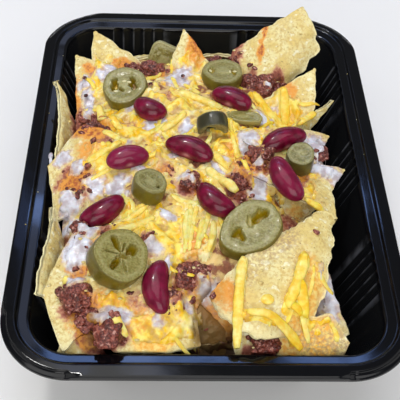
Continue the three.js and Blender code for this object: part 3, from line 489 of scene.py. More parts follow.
def mesh_object(name, bundle, material):
    mesh = bpy.data.meshes.new(name)
    mesh.from_pydata((bundle.all_points() * MM).tolist(), [], bundle.all_faces())
    for mark, values in bundle.marks.items():
        layer = mesh.attributes.new(mark, "FLOAT", "POINT")
        layer.data.foreach_set("value", np.concatenate(values).astype(np.float32))
    mesh.polygons.foreach_set("use_smooth", [True] * len(mesh.polygons))
    mesh.materials.append(material)
    mesh.update()
    return linked(name, mesh)


def dressed(name, bundle, material, slot, *nodes):
    """Make a piece that rides on the body and, where nodes are named, stands for them."""
    piece = mesh_object(name, bundle, material)
    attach(piece, "root")
    if nodes:
        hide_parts(*nodes)


def grid_faces(rows, columns, wrap=False, flip=False):
    """Quads of a grid of vertices in rows; wrap joins each row's end to its start."""
    row = np.arange(rows - 1)[:, None] * columns
    column = np.arange(columns if wrap else columns - 1)[None, :]
    after = (column + 1) % columns
    quads = np.stack([row + column, row + after, row + columns + after, row + columns + column], -1)
    quads = quads.reshape(-1, 4)
    return quads[:, ::-1] if flip else quads


def border_of(rows, columns):
    """Vertices round a grid in order, along its first row first."""
    number = np.arange(rows * columns).reshape(rows, columns)
    return np.concatenate([number[0, :-1], number[:-1, -1], number[-1, :0:-1], number[:0:-1, 0]])


def fan(centre, ring, flip=False):
    """Triangles from a centre to a closed ring of vertices."""
    after = np.roll(ring, -1)
    pair = (after, ring) if flip else (ring, after)
    return np.stack([np.full(len(ring), centre), *pair], axis=1)


def unit_ball(subdivisions):
    ball = bmesh.new()
    bmesh.ops.create_icosphere(ball, subdivisions=subdivisions, radius=1)
    points = np.array([vertex.co for vertex in ball.verts])
    faces = np.array([[vertex.index for vertex in face.verts] for face in ball.faces])
    ball.free()
    return points, faces


BALLS = {level: unit_ball(level) for level in range(1, 6)}


class Ground:
    """Height of the upper surface of some meshes, over a grid in plan."""

    CELL = 0.8
    REACH_X = 68
    REACH_Y = 93
    NOTHING = 20  # the height where no mesh lies below
    ABOVE = 120

    def __init__(self, *bundles):
        points = []
        faces = []
        for bundle in bundles:
            shift = len(points)
            points.extend(bundle.all_points().tolist())
            faces.extend([corner + shift for corner in face] for face in bundle.all_faces())
        tree = BVHTree.FromPolygons(points, faces)
        self.xs = np.arange(-self.REACH_X, self.REACH_X, self.CELL)
        self.ys = np.arange(-self.REACH_Y, self.REACH_Y, self.CELL)
        self.height = np.full((len(self.xs), len(self.ys)), float(self.NOTHING))
        down = Vector((0, 0, -1))
        for i, x in enumerate(self.xs):
            for j, y in enumerate(self.ys):
                hit = tree.ray_cast(Vector((x, y, self.ABOVE)), down)[0]
                if hit:
                    self.height[i, j] = hit.z

    def at(self, x, y):
        x = np.clip((np.asarray(x, float) - self.xs[0]) / self.CELL, 0, len(self.xs) - 1.001)
        y = np.clip((np.asarray(y, float) - self.ys[0]) / self.CELL, 0, len(self.ys) - 1.001)
        i = x.astype(int)
        j = y.astype(int)
        share_x = x - i
        share_y = y - j
        near = self.height[i, j] * (1 - share_y) + self.height[i, j + 1] * share_y
        far = self.height[i + 1, j] * (1 - share_y) + self.height[i + 1, j + 1] * share_y
        return near * (1 - share_x) + far * share_x

    def above(self, x, y, lift):
        return x, y, float(self.at(x, y)) + lift


# ================================================================ materials
def rgba(value):
    return (*value, 1) if isinstance(value, tuple) else value


class Look:
    """A material in the making: its nodes, its shader and its base colour so far."""

    SOCKETS = {"ior": "IOR", "specular_ior_level": "Specular IOR Level"}

    def __init__(self, name, **sockets):
        self.material = bpy.data.materials.new(name)
        self.material.use_nodes = True
        self.tree = self.material.node_tree
        self.shader = self.tree.nodes["Principled BSDF"]
        self.place = self.node("TexCoord").outputs["Object"]
        self.base = None
        for key, value in sockets.items():
            self.set(self.SOCKETS.get(key, key.replace("_", " ").title()), value)

    def feed(self, socket, value):
        if isinstance(value, bpy.types.NodeSocket):
            self.tree.links.new(value, socket)
        else:
            socket.default_value = value

    def set(self, name, value):
        self.feed(self.shader.inputs[name], value)

    def node(self, kind, inputs=None, **settings):
        made = self.tree.nodes.new("ShaderNode" + kind)
        for key, value in settings.items():
            setattr(made, key, value)
        for key, value in (inputs or {}).items():
            self.feed(made.inputs[key], value)
        return made

    def mark(self, name):
        return self.node("Attribute", attribute_name=name).outputs["Fac"]

    def speckle(self, size, detail):
        """Noise from 0 to 1 in lumps of a size in millimetres."""
        sockets = {"Vector": self.place, "Scale": 1 / (size * MM), "Detail": detail}
        return self.node("TexNoise", sockets).outputs["Fac"]

    def between(self, value, low, high):
        """0 below low, 1 above high, smooth in between."""
        sockets = {"Value": value, "From Min": low, "From Max": high}
        return self.node("MapRange", sockets, interpolation_type="SMOOTHSTEP").outputs["Result"]

    def ranged(self, value, start, end):
        """From start to end while the value goes from 0 to 1."""
        sockets = {"Value": value, "To Min": start, "To Max": end}
        return self.node("MapRange", sockets).outputs["Result"]

    def spots(self, size, detail, low, high):
        return self.between(self.speckle(size, detail), low, high)

    def math(self, operation, first, second):
        return self.node("Math", {0: first, 1: second}, operation=operation).outputs["Value"]

    def times(self, first, second):
        return self.math("MULTIPLY", first, second)

    def plus_speckle(self, value, size, detail, strength):
        """A value with noise added, so that what it marks has a wandering edge."""
        return self.math("ADD", value, self.times(self.speckle(size, detail), strength))

    def blend(self, share, first, second):
        made = self.node("Mix", {0: share, 6: rgba(first), 7: rgba(second)}, data_type="RGBA")
        return made.outputs[2]

    def over(self, share, colour):
        """Lay a colour over the base colour."""
        self.base = self.blend(share, self.base, colour)

    def finished(self, *relief):
        """The material, with fine relief in layers: size of the lumps, detail and depth."""
        self.set("Base Color", self.base)
        normal = None
        for size, detail, depth in relief:
            height = self.speckle(size, detail)
            sockets = {"Height": height, "Strength": 1.0, "Distance": depth * MM}
            if normal:
                sockets["Normal"] = normal
            normal = self.node("Bump", sockets).outputs["Normal"]
            self.set("Normal", normal)
        return self.material

    def sauced(self, strength=1.0):
        """Orange oil and red-brown sauce where the mark says so."""
        mottle = self.plus_speckle(self.times(self.mark("sauce"), strength), 1.3, 5, 0.9)
        self.over(self.between(mottle, 0.62, 1.1), (0.8, 0.34, 0.045))
        self.over(self.between(mottle, 1.08, 1.4), (0.42, 0.1, 0.025))

    def meat_film_and_shade(self):
        """A pinkish brown film where mince lies near. Its strongest spots darken to near black as
        painted shade in shadowed gaps.
        """
        film = self.plus_speckle(self.mark("meat"), 1.2, 4, 0.8)
        self.over(self.between(film, 0.6, 1.1), (0.58, 0.29, 0.17))
        self.over(self.between(film, 0.92, 1.25), (0.32, 0.085, 0.05))
        self.over(self.between(film, 1.15, 1.5), (0.13, 0.028, 0.018))

    def veiled(self):
        """The white of mozzarella: thin and creamy at first, then bluish white."""
        veil = self.plus_speckle(self.mark("white"), 2.4, 3, 1.1)
        tinge = self.blend(self.spots(1.6, 3, 0.35, 0.65), (0.56, 0.34, 0.25), (0.8, 0.68, 0.46))
        white = self.blend(self.spots(3.2, 3, 0.36, 0.62), (0.5, 0.44, 0.47), (0.76, 0.77, 0.85))
        self.over(self.between(veil, 0.75, 1.15), tinge)
        self.over(self.between(veil, 0.98, 1.4), white)

    def paint_shade_spots(self):
        """Painted shade: dark spots where the food lies in shadow."""
        self.over(self.times(self.mark("painted_shade"), 0.92), (0.2, 0.1, 0.022))


def tray_material():
    look = Look("tray_plastic", roughness=0.1, ior=1.4)
    look.base = look.blend(look.speckle(14, 3), (0.0012, 0.0014, 0.0022), (0.0026, 0.003, 0.0046))
    wall = look.mark("wall")
    look.over(wall, (0.007, 0.0075, 0.0085))
    # Painted highlight: pale lines on the ridges of the flutes on the walls.
    look.over(look.times(look.mark("ridge"), look.spots(7, 3, 0.3, 0.6)), (0.09, 0.095, 0.11))
    rough = look.math("ADD", look.ranged(look.speckle(5, 4), 0.05, 0.12), look.times(wall, 0.14))
    look.set("Roughness", rough)
    look.set("Specular IOR Level", look.ranged(wall, 0.5, 0.13))
    return look.finished((9, 1, 0.04), (0.5, 2, 0.003))


def chip_material():
    look = Look("tortilla", roughness=0.55, ior=1.45)
    look.base = look.blend(look.spots(6, 3, 0.35, 0.68), (0.76, 0.59, 0.2), (0.86, 0.78, 0.4))
    look.over(look.spots(1.1, 3, 0.42, 0.68), (0.66, 0.48, 0.16))
    look.over(look.spots(2.2, 2, 0.58, 0.72), (0.92, 0.88, 0.6))
    golden = look.blend(look.spots(1.4, 3, 0.35, 0.65), (0.86, 0.42, 0.05), (0.93, 0.68, 0.2))
    look.over(look.between(look.plus_speckle(look.mark("yellow"), 1.6, 3, 0.6), 0.55, 1.0), golden)
    # Pale along the thin edges. This is partly the chips' own paler edges and partly a painted
    # highlight where the edges catch the light.
    look.over(look.times(look.mark("edge"), 0.75), (0.9, 0.84, 0.5))
    scorch = look.times(look.mark("toast"), look.spots(1.0, 4, 0.38, 0.62))
    look.over(look.times(scorch, 0.7), (0.42, 0.27, 0.15))
    look.over(look.spots(0.75, 2, 0.67, 0.74), (0.3, 0.2, 0.06))
    look.meat_film_and_shade()
    look.sauced()
    look.veiled()
    look.paint_shade_spots()
    return look.finished((2.4, 3, 0.4), (0.8, 3, 0.2))


def cheese_material():
    look = Look("melted_cheese", ior=1.45, specular_ior_level=0.5, subsurface_weight=0.1,
                subsurface_scale=0.001)
    cream = look.blend(look.spots(3.4, 2, 0.38, 0.62), (0.86, 0.62, 0.13), (0.95, 0.87, 0.46))
    yellow = look.blend(look.spots(3.0, 2, 0.38, 0.62), (0.93, 0.55, 0.015), (0.98, 0.82, 0.18))
    share = look.between(look.plus_speckle(look.mark("yellow"), 4.5, 3, 0.9), 0.6, 1.0)
    look.base = look.blend(share, cream, yellow)
    # Painted shade: darker golden brown in the creases between the melted strands.
    look.over(look.times(look.mark("painted_crease_shade"), look.spots(3.4, 4, 0.42, 0.66)), (0.6, 0.36, 0.07))
    look.over(look.times(look.spots(5, 5, 0.57, 0.66), 0.45), (0.4, 0.15, 0.07))
    look.meat_film_and_shade()
    look.sauced(0.8)
    look.veiled()
    look.paint_shade_spots()
    look.set("Roughness", look.ranged(look.speckle(2.5, 3), 0.1, 0.4))
    return look.finished((2.4, 2, 0.2), (0.8, 2, 0.03))


def shred_material():
    look = Look("cheddar_shred", roughness=0.26, ior=1.45, specular_ior_level=0.35,
                subsurface_weight=0.25, subsurface_scale=0.0015)
    lumps = look.spots(2, 3, 0.3, 0.7)
    pale = look.blend(lumps, (0.88, 0.68, 0.12), (0.96, 0.86, 0.36))
    warm = look.blend(lumps, (0.94, 0.52, 0.006), (0.98, 0.74, 0.05))
    look.base = look.blend(look.mark("warm"), pale, warm)
    # Painted shade: the undersides of the shreds are painted a deeper, darker orange.
    under = look.times(look.mark("under"), look.spots(1.6, 3, 0.3, 0.7))
    look.over(look.times(under, 0.6), (0.66, 0.34, 0.03))
    return look.finished((1.5, 2, 0.12), (0.6, 2, 0.03))


def mince_material():
    look = Look("mince", roughness=0.3, ior=1.42)
    fleck = look.spots(0.7, 5, 0.36, 0.64)
    dark = look.blend(fleck, (0.035, 0.005, 0.004), (0.17, 0.028, 0.02))
    light = look.blend(fleck, (0.13, 0.022, 0.016), (0.42, 0.13, 0.09))
    look.base = look.blend(look.mark("tone"), dark, light)
    # Painted shade: near black in the crevices between the grains of the mince. The charred bits
    # take this colour as their own.
    deep = look.between(look.mark("crevice"), 0.5, 0.85)
    look.over(look.times(deep, 0.8), (0.04, 0.008, 0.007))
    look.over(look.spots(1.3, 5, 0.56, 0.66), (0.5, 0.24, 0.19))
    return look.finished((0.6, 4, 0.3))


def filling_material():
    """What shows between the chips: sauce, mince and cheese run together."""
    look = Look("filling", roughness=0.45, ior=1.45)
    meat = look.blend(look.speckle(1.2, 4), (0.1, 0.025, 0.012), (0.42, 0.15, 0.06))
    cheese = look.blend(look.speckle(2, 3), (0.74, 0.45, 0.12), (0.82, 0.66, 0.3))
    shares = look.math("ADD", look.speckle(3.4, 4), look.times(look.mark("yellow"), 0.35))
    look.base = look.blend(look.between(shares, 0.42, 0.6), meat, cheese)
    look.meat_film_and_shade()
    look.sauced(0.8)
    look.veiled()
    # Painted shade: the filling darkens to near black lower down, where it lies deep in shadow
    # between the chips.
    look.over(look.between(look.mark("depth"), 0.0, 1.0), (0.05, 0.02, 0.01))
    return look.finished((1.5, 3, 0.4))


def bean_material():
    look = Look("kidney_bean", roughness=0.26, ior=1.4, specular_ior_level=0.3, coat_weight=0.25,
                coat_roughness=0.03)
    look.base = look.blend(look.spots(3, 4, 0.3, 0.7), (0.09, 0.0015, 0.012), (0.2, 0.004, 0.035))
    look.over(look.mark("pale"), (0.3, 0.02, 0.08))
    look.over(look.spots(0.5, 3, 0.68, 0.76), (0.28, 0.03, 0.07))
    look.over(look.mark("hilum"), (0.55, 0.22, 0.25))
    return look.finished((5, 1, 0.12), (0.9, 2, 0.012))


def jalapeno_material():
    look = Look("jalapeno", roughness=0.32, ior=1.42, subsurface_weight=0.1, subsurface_scale=0.002,
                coat_weight=0.15, coat_roughness=0.08)
    tone = look.mark("tone")
    hollow = look.mark("hollow")
    fibre = look.spots(0.7, 4, 0.3, 0.7)
    look.base = look.blend(fibre, (0.19, 0.16, 0.034), (0.36, 0.33, 0.115))
    look.over(look.times(look.spots(3, 2, 0.35, 0.65), 0.4), (0.2, 0.165, 0.02))
    look.over(tone, look.blend(fibre, (0.16, 0.145, 0.045), (0.28, 0.26, 0.12)))
    look.over(look.mark("pith"), (0.5, 0.47, 0.22))
    cloud = look.speckle(3, 3)
    skin = look.blend(cloud, (0.085, 0.066, 0.004), (0.18, 0.145, 0.014))
    dark_skin = look.blend(cloud, (0.022, 0.022, 0.014), (0.06, 0.055, 0.02))
    look.over(look.mark("skin"), look.blend(look.between(tone, 0.75, 1.0), skin, dark_skin))
    # Painted light and shade in the seed hollows. Shallow hollows are painted a bright yellow glow,
    # standing in for light through the flesh. Deep hollows are painted near black as painted shade.
    # Dark slices keep dark hollows as their own colour.
    glow = look.blend(look.speckle(1.2, 2), (0.26, 0.17, 0.003), (0.5, 0.36, 0.01))
    dark = look.math("MAXIMUM", look.between(tone, 0.3, 0.6), look.between(hollow, 0.7, 0.85))
    inside = look.blend(dark, glow, (0.02, 0.013, 0.003))
    look.over(look.between(hollow, 0.08, 0.4), inside)
    return look.finished((1.2, 4, 0.12), (0.5, 2, 0.03))


def seed_material():
    look = Look("jalapeno_seed", roughness=0.3, ior=1.45)
    look.base = look.blend(look.speckle(0.8, 2), (0.6, 0.55, 0.27), (0.76, 0.72, 0.45))
    return look.finished()


def floor_material():
    look = Look("floor_white", roughness=0.7)
    look.base = look.blend(look.speckle(40, 2), (0.87, 0.87, 0.87), (0.9, 0.9, 0.9))
    return look.finished()


# ================================================================ tray
def outline_stops():
    """Places round the tray: on a side a distance along it, on a corner an angle. Each says how
    deep its flute is, how far it belongs to a corner arc and whether it is on a ridge."""
    sides = ((1, 0, TRAY_LENGTH, LONG_FLUTES), (0, 1, TRAY_WIDTH, SHORT_FLUTES),
             (-1, 0, TRAY_LENGTH, LONG_FLUTES), (0, -1, TRAY_WIDTH, SHORT_FLUTES))
    stops = []
    half = FLUTES * FLUTE_PITCH / 2
    for quarter, (nx, ny, length, flutes) in enumerate(sides):
        straight = length / 2 - TRAY_CORNER
        along = {round(s, 3): 0.0 for s in np.linspace(1 - straight, straight - 1, SIDE_SAMPLES)}
        ridges = []
        for middle in flutes:
            centre = middle * (nx - ny)
            along = {s: depth for s, depth in along.items() if abs(s - centre) > half + 0.2}
            for k in range(FLUTES * FLUTE_SAMPLES + 1):
                s = centre - half + k * FLUTE_PITCH / FLUTE_SAMPLES
                along[round(s, 3)] = abs(math.sin(math.pi * k / FLUTE_SAMPLES)) ** 0.8
            ridges += [centre - half + k * FLUTE_PITCH for k in range(FLUTES + 1)]
        for s in sorted(along):
            ridge = float(min(abs(s - place) for place in ridges) < 0.05)
            stops.append({"nx": nx, "ny": ny, "s": s, "depth": along[s], "corner": 0.0,
                          "ridge": ridge})
        for k in range(ARC_SAMPLES + 1):
            angle = math.radians(90 * (quarter + k / ARC_SAMPLES))
            gentle = float(smoothstep(0, 0.35, min(k, ARC_SAMPLES - k) / ARC_SAMPLES))
            corner = gentle if quarter < 2 else 1.0
            stops.append({"angle": angle, "quarter": quarter, "depth": 0.0, "corner": corner,
                          "ridge": 0.0})
    return stops


STOPS = outline_stops()


def stop_place(stop, inset):
    radius = max(TRAY_CORNER - inset, FOOT_CORNER)
    reach_x = TRAY_WIDTH / 2 - inset - radius
    reach_y = TRAY_LENGTH / 2 - inset - radius
    if "angle" in stop:
        sign_x = (1, -1, -1, 1)[stop["quarter"]]
        sign_y = (1, 1, -1, -1)[stop["quarter"]]
        return (sign_x * reach_x + radius * math.cos(stop["angle"]),
                sign_y * reach_y + radius * math.sin(stop["angle"]))
    nx, ny = stop["nx"], stop["ny"]
    reach = reach_y if nx else reach_x
    s = min(max(stop["s"], -reach), reach)
    return (nx * (TRAY_WIDTH / 2 - inset) - ny * s, ny * (TRAY_LENGTH / 2 - inset) + nx * s)


def rounded_profile(corners):
    """A profile whose corners are replaced by short curves. A corner is inset, z, the inset and z
    it has on the tray's corner arcs, and its share of the flutes' depth."""
    corners = [np.array(corner, float) for corner in corners]
    smooth = [corners[0]]
    for before, here, after in zip(corners, corners[1:], corners[2:]):
        back = before - here
        ahead = after - here
        start = here + back * min(0.45, FILLET / max(np.hypot(back[0], back[1]), 1e-6))
        end = here + ahead * min(0.45, FILLET / max(np.hypot(ahead[0], ahead[1]), 1e-6))
        for k in range(FILLET_STEPS + 1):
            t = k / FILLET_STEPS
            smooth.append((1 - t) ** 2 * start + 2 * t * (1 - t) * here + t * t * end)
    smooth.append(corners[-1])
    held = [smooth[0]]
    for here, after in zip(smooth, smooth[1:]):
        span = np.hypot(*(after - here)[:2])
        if span > 4 * SUPPORT:
            step = (after - here) * SUPPORT / span
            held += [here + step, after - step]
        held.append(after)
    return held


def tray_profile():
    top = TRAY_HEIGHT
    lip = top - LIP_DROP

    def corner(inset, z, arc_inset=0, arc_z=0, flute=0.0):
        return (inset, z, arc_inset or inset, arc_z or z, flute)

    return rounded_profile([
        corner(FLOOR_INSET + 6, 0.35),
        corner(FLOOR_INSET - SHEET / 2, 0),
        corner(FLOOR_RISE - SHEET, 1.8),
        corner(WALL_BOTTOM - SHEET, WALL_FOOT),
        corner(WALL_BOTTOM - SHEET - 0.7, WALL_FOOT + 2, flute=1),
        corner(WALL_TOP - SHEET, LEDGE_Z - 3, flute=1),
        corner(RIM - 0.6, LEDGE_Z - 1.4),
        corner(FLANGE + 0.2, LEDGE_Z - SHEET),
        corner(FLANGE - 0.4, top - SHEET),
        corner(0.9, top - SHEET, arc_z=lip + 0.4),
        corner(0.8, lip),
        corner(0, lip),
        corner(0, top - 0.35, arc_z=top - 1.2),
        corner(0.35, top, arc_inset=CORNER_LIP, arc_z=top - 1),
        corner(1.2, top, arc_inset=CORNER_LIP + 0.3),
        corner(FLANGE - 0.2, top),
        corner(FLANGE + 0.3, LEDGE_Z),
        corner(RIM - 0.5, LEDGE_Z - LEDGE_FALL),
        corner(RIM + 0.1, LEDGE_Z - LEDGE_FALL - 0.6, flute=0.75),
        corner(WALL_TOP, LEDGE_Z - 3, flute=1),
        corner(WALL_BOTTOM - 0.7, WALL_FOOT + 2, flute=1),
        corner(WALL_BOTTOM, WALL_FOOT),
        corner(FLOOR_RISE, 2.6),
        corner(FLOOR_INSET, SHEET),
        corner(FLOOR_INSET + 6, SHEET + 0.35),
    ])


def tray():
    bundle = Bundle("wall", "ridge")
    profile = tray_profile()
    points = []
    for inset, z, arc_inset, arc_z, flute in profile:
        for stop in STOPS:
            here = inset + (arc_inset - inset) * stop["corner"]
            x, y = stop_place(stop, here - FLUTE_DEPTH * flute * stop["depth"])
            points.append((x, y, z + (arc_z - z) * stop["corner"]))
    rings = grid_faces(len(profile), len(STOPS), wrap=True)
    first = len(points)
    points += [(0, 0, profile[0][1]), (0, 0, profile[-1][1])]
    start = np.arange(len(STOPS))
    under = fan(first, start, flip=True)
    floor = fan(first + 1, first - len(STOPS) + start)
    points = np.array(points)
    wall = smoothstep(LEDGE_Z - 0.8, LEDGE_Z - 3, points[:, 2])
    # Painted highlight: the ridge mark paints the ridges of the flutes pale on the walls.
    ridge = np.append(np.tile([stop["ridge"] for stop in STOPS], len(profile)), [0, 0])
    ridge *= smoothstep(12, 24, points[:, 2]) * wall
    bundle.add(points, [rings, under, floor], wall=wall, ridge=ridge)
    dressed("tray_shell", bundle, tray_material(), "tray", "tray")


# The room inside the tray: heights, and how far in from the tray's outline the room starts there.
ROOM_HEIGHTS = (SHEET + GAP, 2.9, WALL_FOOT, LEDGE_Z - 3, TRAY_HEIGHT + GAP, TRAY_HEIGHT + 1.5)
ROOM_INSETS = (FLOOR_INSET + GAP, FLOOR_RISE + GAP, WALL_BOTTOM + GAP, WALL_TOP + GAP, RIM + GAP, 1)


def kept_in_tray(points):
    """Points moved straight in to the room inside the tray, where they lie outside it."""
    inset = np.interp(points[:, 2], ROOM_HEIGHTS, ROOM_INSETS)
    radius = np.maximum(TRAY_CORNER - inset, FOOT_CORNER)
    reach = np.stack([TRAY_WIDTH / 2 - inset - radius, TRAY_LENGTH / 2 - inset - radius], axis=1)
    flat = np.abs(points[:, :2])
    past = np.maximum(flat - reach, 0)
    far = np.maximum(np.linalg.norm(past, axis=1), 1e-9)
    shrink = np.minimum(radius / far, 1)[:, None]
    kept = np.minimum(flat, reach) + past * shrink
    height = np.clip(points[:, 2], SHEET + GAP, CEILING)
    return np.column_stack([np.copysign(kept, points[:, :2]), height])


# ================================================================ heap
def heap_height(x, y):
    across = np.abs((x - HEAP_CENTRE[0]) / HEAP_HALF[0])
    along = np.abs((y - HEAP_CENTRE[1]) / HEAP_HALF[1])
    fall = HEAP_FALL[0] * across**HEAP_POWER + HEAP_FALL[1] * along**HEAP_POWER
    lumps = np.sin(x / 6 + 1.3) * np.cos(y / 8 - 0.4) + 0.6 * np.sin((x + y) / 5)
    height = HEAP_TOP - fall + 1.1 * lumps
    for bump_x, bump_y, rise, spread in HEAP_BUMPS:
        height += rise * np.exp(-((x - bump_x) ** 2 + (y - bump_y) ** 2) / spread**2)
    return height


def core_bundle():
    """The filling: the heap's own surface with fine relief, and sides down to the floor."""
    a, b = flat_grid(np.linspace(-1, 1, CORE_COLUMNS), np.linspace(-1, 1, CORE_ROWS))

    def spot(shrink_x, shrink_y):
        x = HEAP_CENTRE[0] + (HEAP_HALF[0] - shrink_x) * a * np.sqrt(1 - HEAP_CORNER * b * b)
        y = HEAP_CENTRE[1] + (HEAP_HALF[1] - shrink_y) * b * np.sqrt(1 - HEAP_CORNER * a * a)
        return x, y

    x, y = spot(0, 0)
    top = np.stack([x, y, heap_height(x, y)], axis=1)
    top[:, 2] += 0.9 * (0.55 - grains(top, 2.6, 5)) + 0.9 * noise(top, 4.5, 6) - 0.6
    border = np.roll(border_of(CORE_COLUMNS, CORE_ROWS)[::-1], 1)
    count = len(border)
    above = top[border]
    rings = []
    for shrink_x, shrink_y, level in CORE_LEVELS:
        x, y = spot(shrink_x, shrink_y)
        below = np.column_stack([x[border], y[border], np.full(count, level)])
        for k in range(1, CORE_STEPS + 1):
            rings.append(above + (below - above) * k / CORE_STEPS)
        above = below
    sides = np.concatenate(rings)
    dent = 0.012 * (1 + noise(sides, 5, 8)) + 0.01 * (1 + noise(sides, 2, 9))
    sides[:, :2] *= (1 - dent)[:, None]
    points = kept_in_tray(np.concatenate([top, sides]))
    points = np.vstack([points, [*HEAP_CENTRE, SHEET + GAP]])
    loops = [border]
    loops += [len(top) + ring * count + np.arange(count) for ring in range(len(rings))]
    walls = [np.stack([upper, lower, np.roll(lower, -1), np.roll(upper, -1)], axis=1)
             for upper, lower in zip(loops, loops[1:])]
    floor = fan(len(points) - 1, loops[-1], flip=True)
    marks = {name: patch(points, name) for name in ("sauce", "meat", "white")}
    marks["yellow"] = patch(points, "yellow_below")
    # Painted shade: how deep in shadow the filling lies, by its height.
    marks["depth"] = smoothstep(50, 32, points[:, 2])
    bundle = Bundle(*marks)
    bundle.add(points, [grid_faces(CORE_COLUMNS, CORE_ROWS), *walls, floor], **marks)
    return bundle


def chip_face(chip, side, seed):
    """One face of a chip on its grid of rows from the tip and columns across."""
    length, width, curl, form = chip[4:]
    shoulder = form.get("shoulder", 1)
    skew = form.get("skew", 0)
    bulge = form.get("bulge", 0.06)
    blunt = form.get("blunt", 0.035)
    ragged = form.get("ragged", 1)
    down, across = flat_grid(np.linspace(0, 1, CHIP_ROWS), np.linspace(-0.5, 0.5, CHIP_COLUMNS))
    slope = (1 - form.get("back", 1)) / (1 - shoulder) if shoulder < 1 else 0
    to_shoulder = (down / shoulder) ** form.get("bow", CHIP_BOW)
    wide = np.where(down <= shoulder, to_shoulder, 1 - slope * (down - shoulder))
    wide = np.maximum(wide, blunt)
    y = width * wide * across
    x = skew * y - length * (down + bulge * down**3 * (1 - (2 * across) ** 2))
    x -= 0.3 * blunt * length * (2 * across) ** 2 * np.exp(-down / 0.1)
    arch = 1 - 0.6 * (2 * down - 1) ** 2 - (2 * across * wide) ** 2
    flat = flat_points(x, y)
    wander = 0.75 * noise(flat, 6, seed) + 0.55 * noise(flat, 2.4, seed + 1)
    wander = ragged * (wander + 0.3 * noise(flat, 1.0, seed + 2))
    y += wander * np.sign(across) * np.abs(2 * across) ** 5 * np.minimum(1, 3 * wide)
    x += wander * down**10
    edge = np.maximum(np.abs(2 * across) ** 14, down**30)
    warp = 0.8 * noise(flat, 15, seed + 3) + 0.45 * noise(flat, 7, seed + 4)
    relief = 0.34 * noise(flat, 3.4, seed + 5 + side) + 0.24 * noise(flat, 1.5, seed + 8 + side)
    thickness = CHIP_THICKNESS * (1 - 0.5 * edge)
    z = curl * arch + warp + relief * (1 - edge) + side * thickness / 2
    return np.stack([x, y, z], axis=1), edge


CHIP_MARKS = ("sauce", "toast", "edge", "yellow", "meat", "white", "painted_shade")


def chips_bundle():
    bundle = Bundle(*CHIP_MARKS)
    faces = grid_faces(CHIP_ROWS, CHIP_COLUMNS)
    count = CHIP_ROWS * CHIP_COLUMNS
    rim = border_of(CHIP_ROWS, CHIP_COLUMNS)
    after = np.roll(rim, -1)
    strip = np.stack([rim, after, after + count, rim + count], axis=1)
    for number, chip in enumerate(CHIPS):
        tip, heading, tilt, lean = chip[:4]
        form = chip[-1]
        covered = 1 - form.get("clean", 0)
        seed = 100 + 20 * number
        upper, edge = chip_face(chip, 1, seed)
        lower, _ = chip_face(chip, -1, seed)
        points = kept_in_tray(turned(np.vstack([upper, lower]), tip, heading, tilt, lean))
        toast = patch(points, "toast") + 0.25 * smoothstep(0.1, 0.7, noise(points, 7, seed))
        marks = {name: patch(points, name) for name in ("sauce", "yellow")}
        marks |= {name: patch(points, name) * covered for name in ("meat", "white")}
        marks["toast"] = np.clip(toast, 0, 1)
        marks["edge"] = np.tile(edge, 2)
        # Painted shade: chips painted dark where they lie in shadow.
        marks["painted_shade"] = np.maximum(form.get("painted_shade", 0), patch(points, "painted_shade") * covered)
        bundle.add(points, [faces[:, ::-1], faces + count, strip[:, ::-1]], **marks)
    return bundle


def blurred(height):
    for _ in range(BLUR_ROUNDS):
        padded = np.pad(height, 1, mode="edge")
        rows = padded[:-2, 1:-1] + padded[1:-1, 1:-1] + padded[2:, 1:-1]
        padded = np.pad(rows / 3, 1, mode="edge")
        height = (padded[1:-1, :-2] + padded[1:-1, 1:-1] + padded[1:-1, 2:]) / 3
    return height


def strand_ridge(x, y, start, heading, length, bend, half):
    """Height from 0 to 1 of a rounded ridge along a bent line."""
    along = (x - start[0]) * math.cos(heading) + (y - start[1]) * math.sin(heading)
    across = (y - start[1]) * math.cos(heading) - (x - start[0]) * math.sin(heading)
    across -= bend * along**2 / 2
    beyond = np.maximum(np.abs(along - length / 2) - length / 2, 0)
    return np.sqrt(np.maximum(1 - (np.hypot(across, beyond) / half) ** 2, 0))


def melted_strands(x, y):
    """Low ridges left by strands of cheese that melted: their height and how yellow they are."""
    draw = random.Random(21)
    ridge = np.zeros(len(x))
    warm = np.zeros(len(x))
    for _ in range(STRANDS):
        start = (draw.uniform(-54, 48), draw.uniform(-84, 56))
        heading = math.radians(draw.uniform(0, 360))
        here = strand_ridge(x, y, start, heading, draw.uniform(7, 18), draw.uniform(-0.06, 0.06),
                            draw.uniform(1.0, 1.7))
        warm = np.where(here > ridge, draw.uniform(0.0, 1.0), warm)
        ridge = np.maximum(ridge, here)
    return ridge, warm


def shred_skirts(x, y):
    """Where cheese has run out round the large shreds, and how orange it is."""
    skirt = np.zeros(len(x))
    warm = np.zeros(len(x))
    for start, heading, length, curve, size, tint in SHREDS:
        bend = math.radians(curve) / length
        here = strand_ridge(x, y, start, math.radians(heading), length, bend, 1.0 + 1.1 * size)
        warm = np.where(here > skirt, tint, warm)
        skirt = np.maximum(skirt, here)
    return skirt, warm


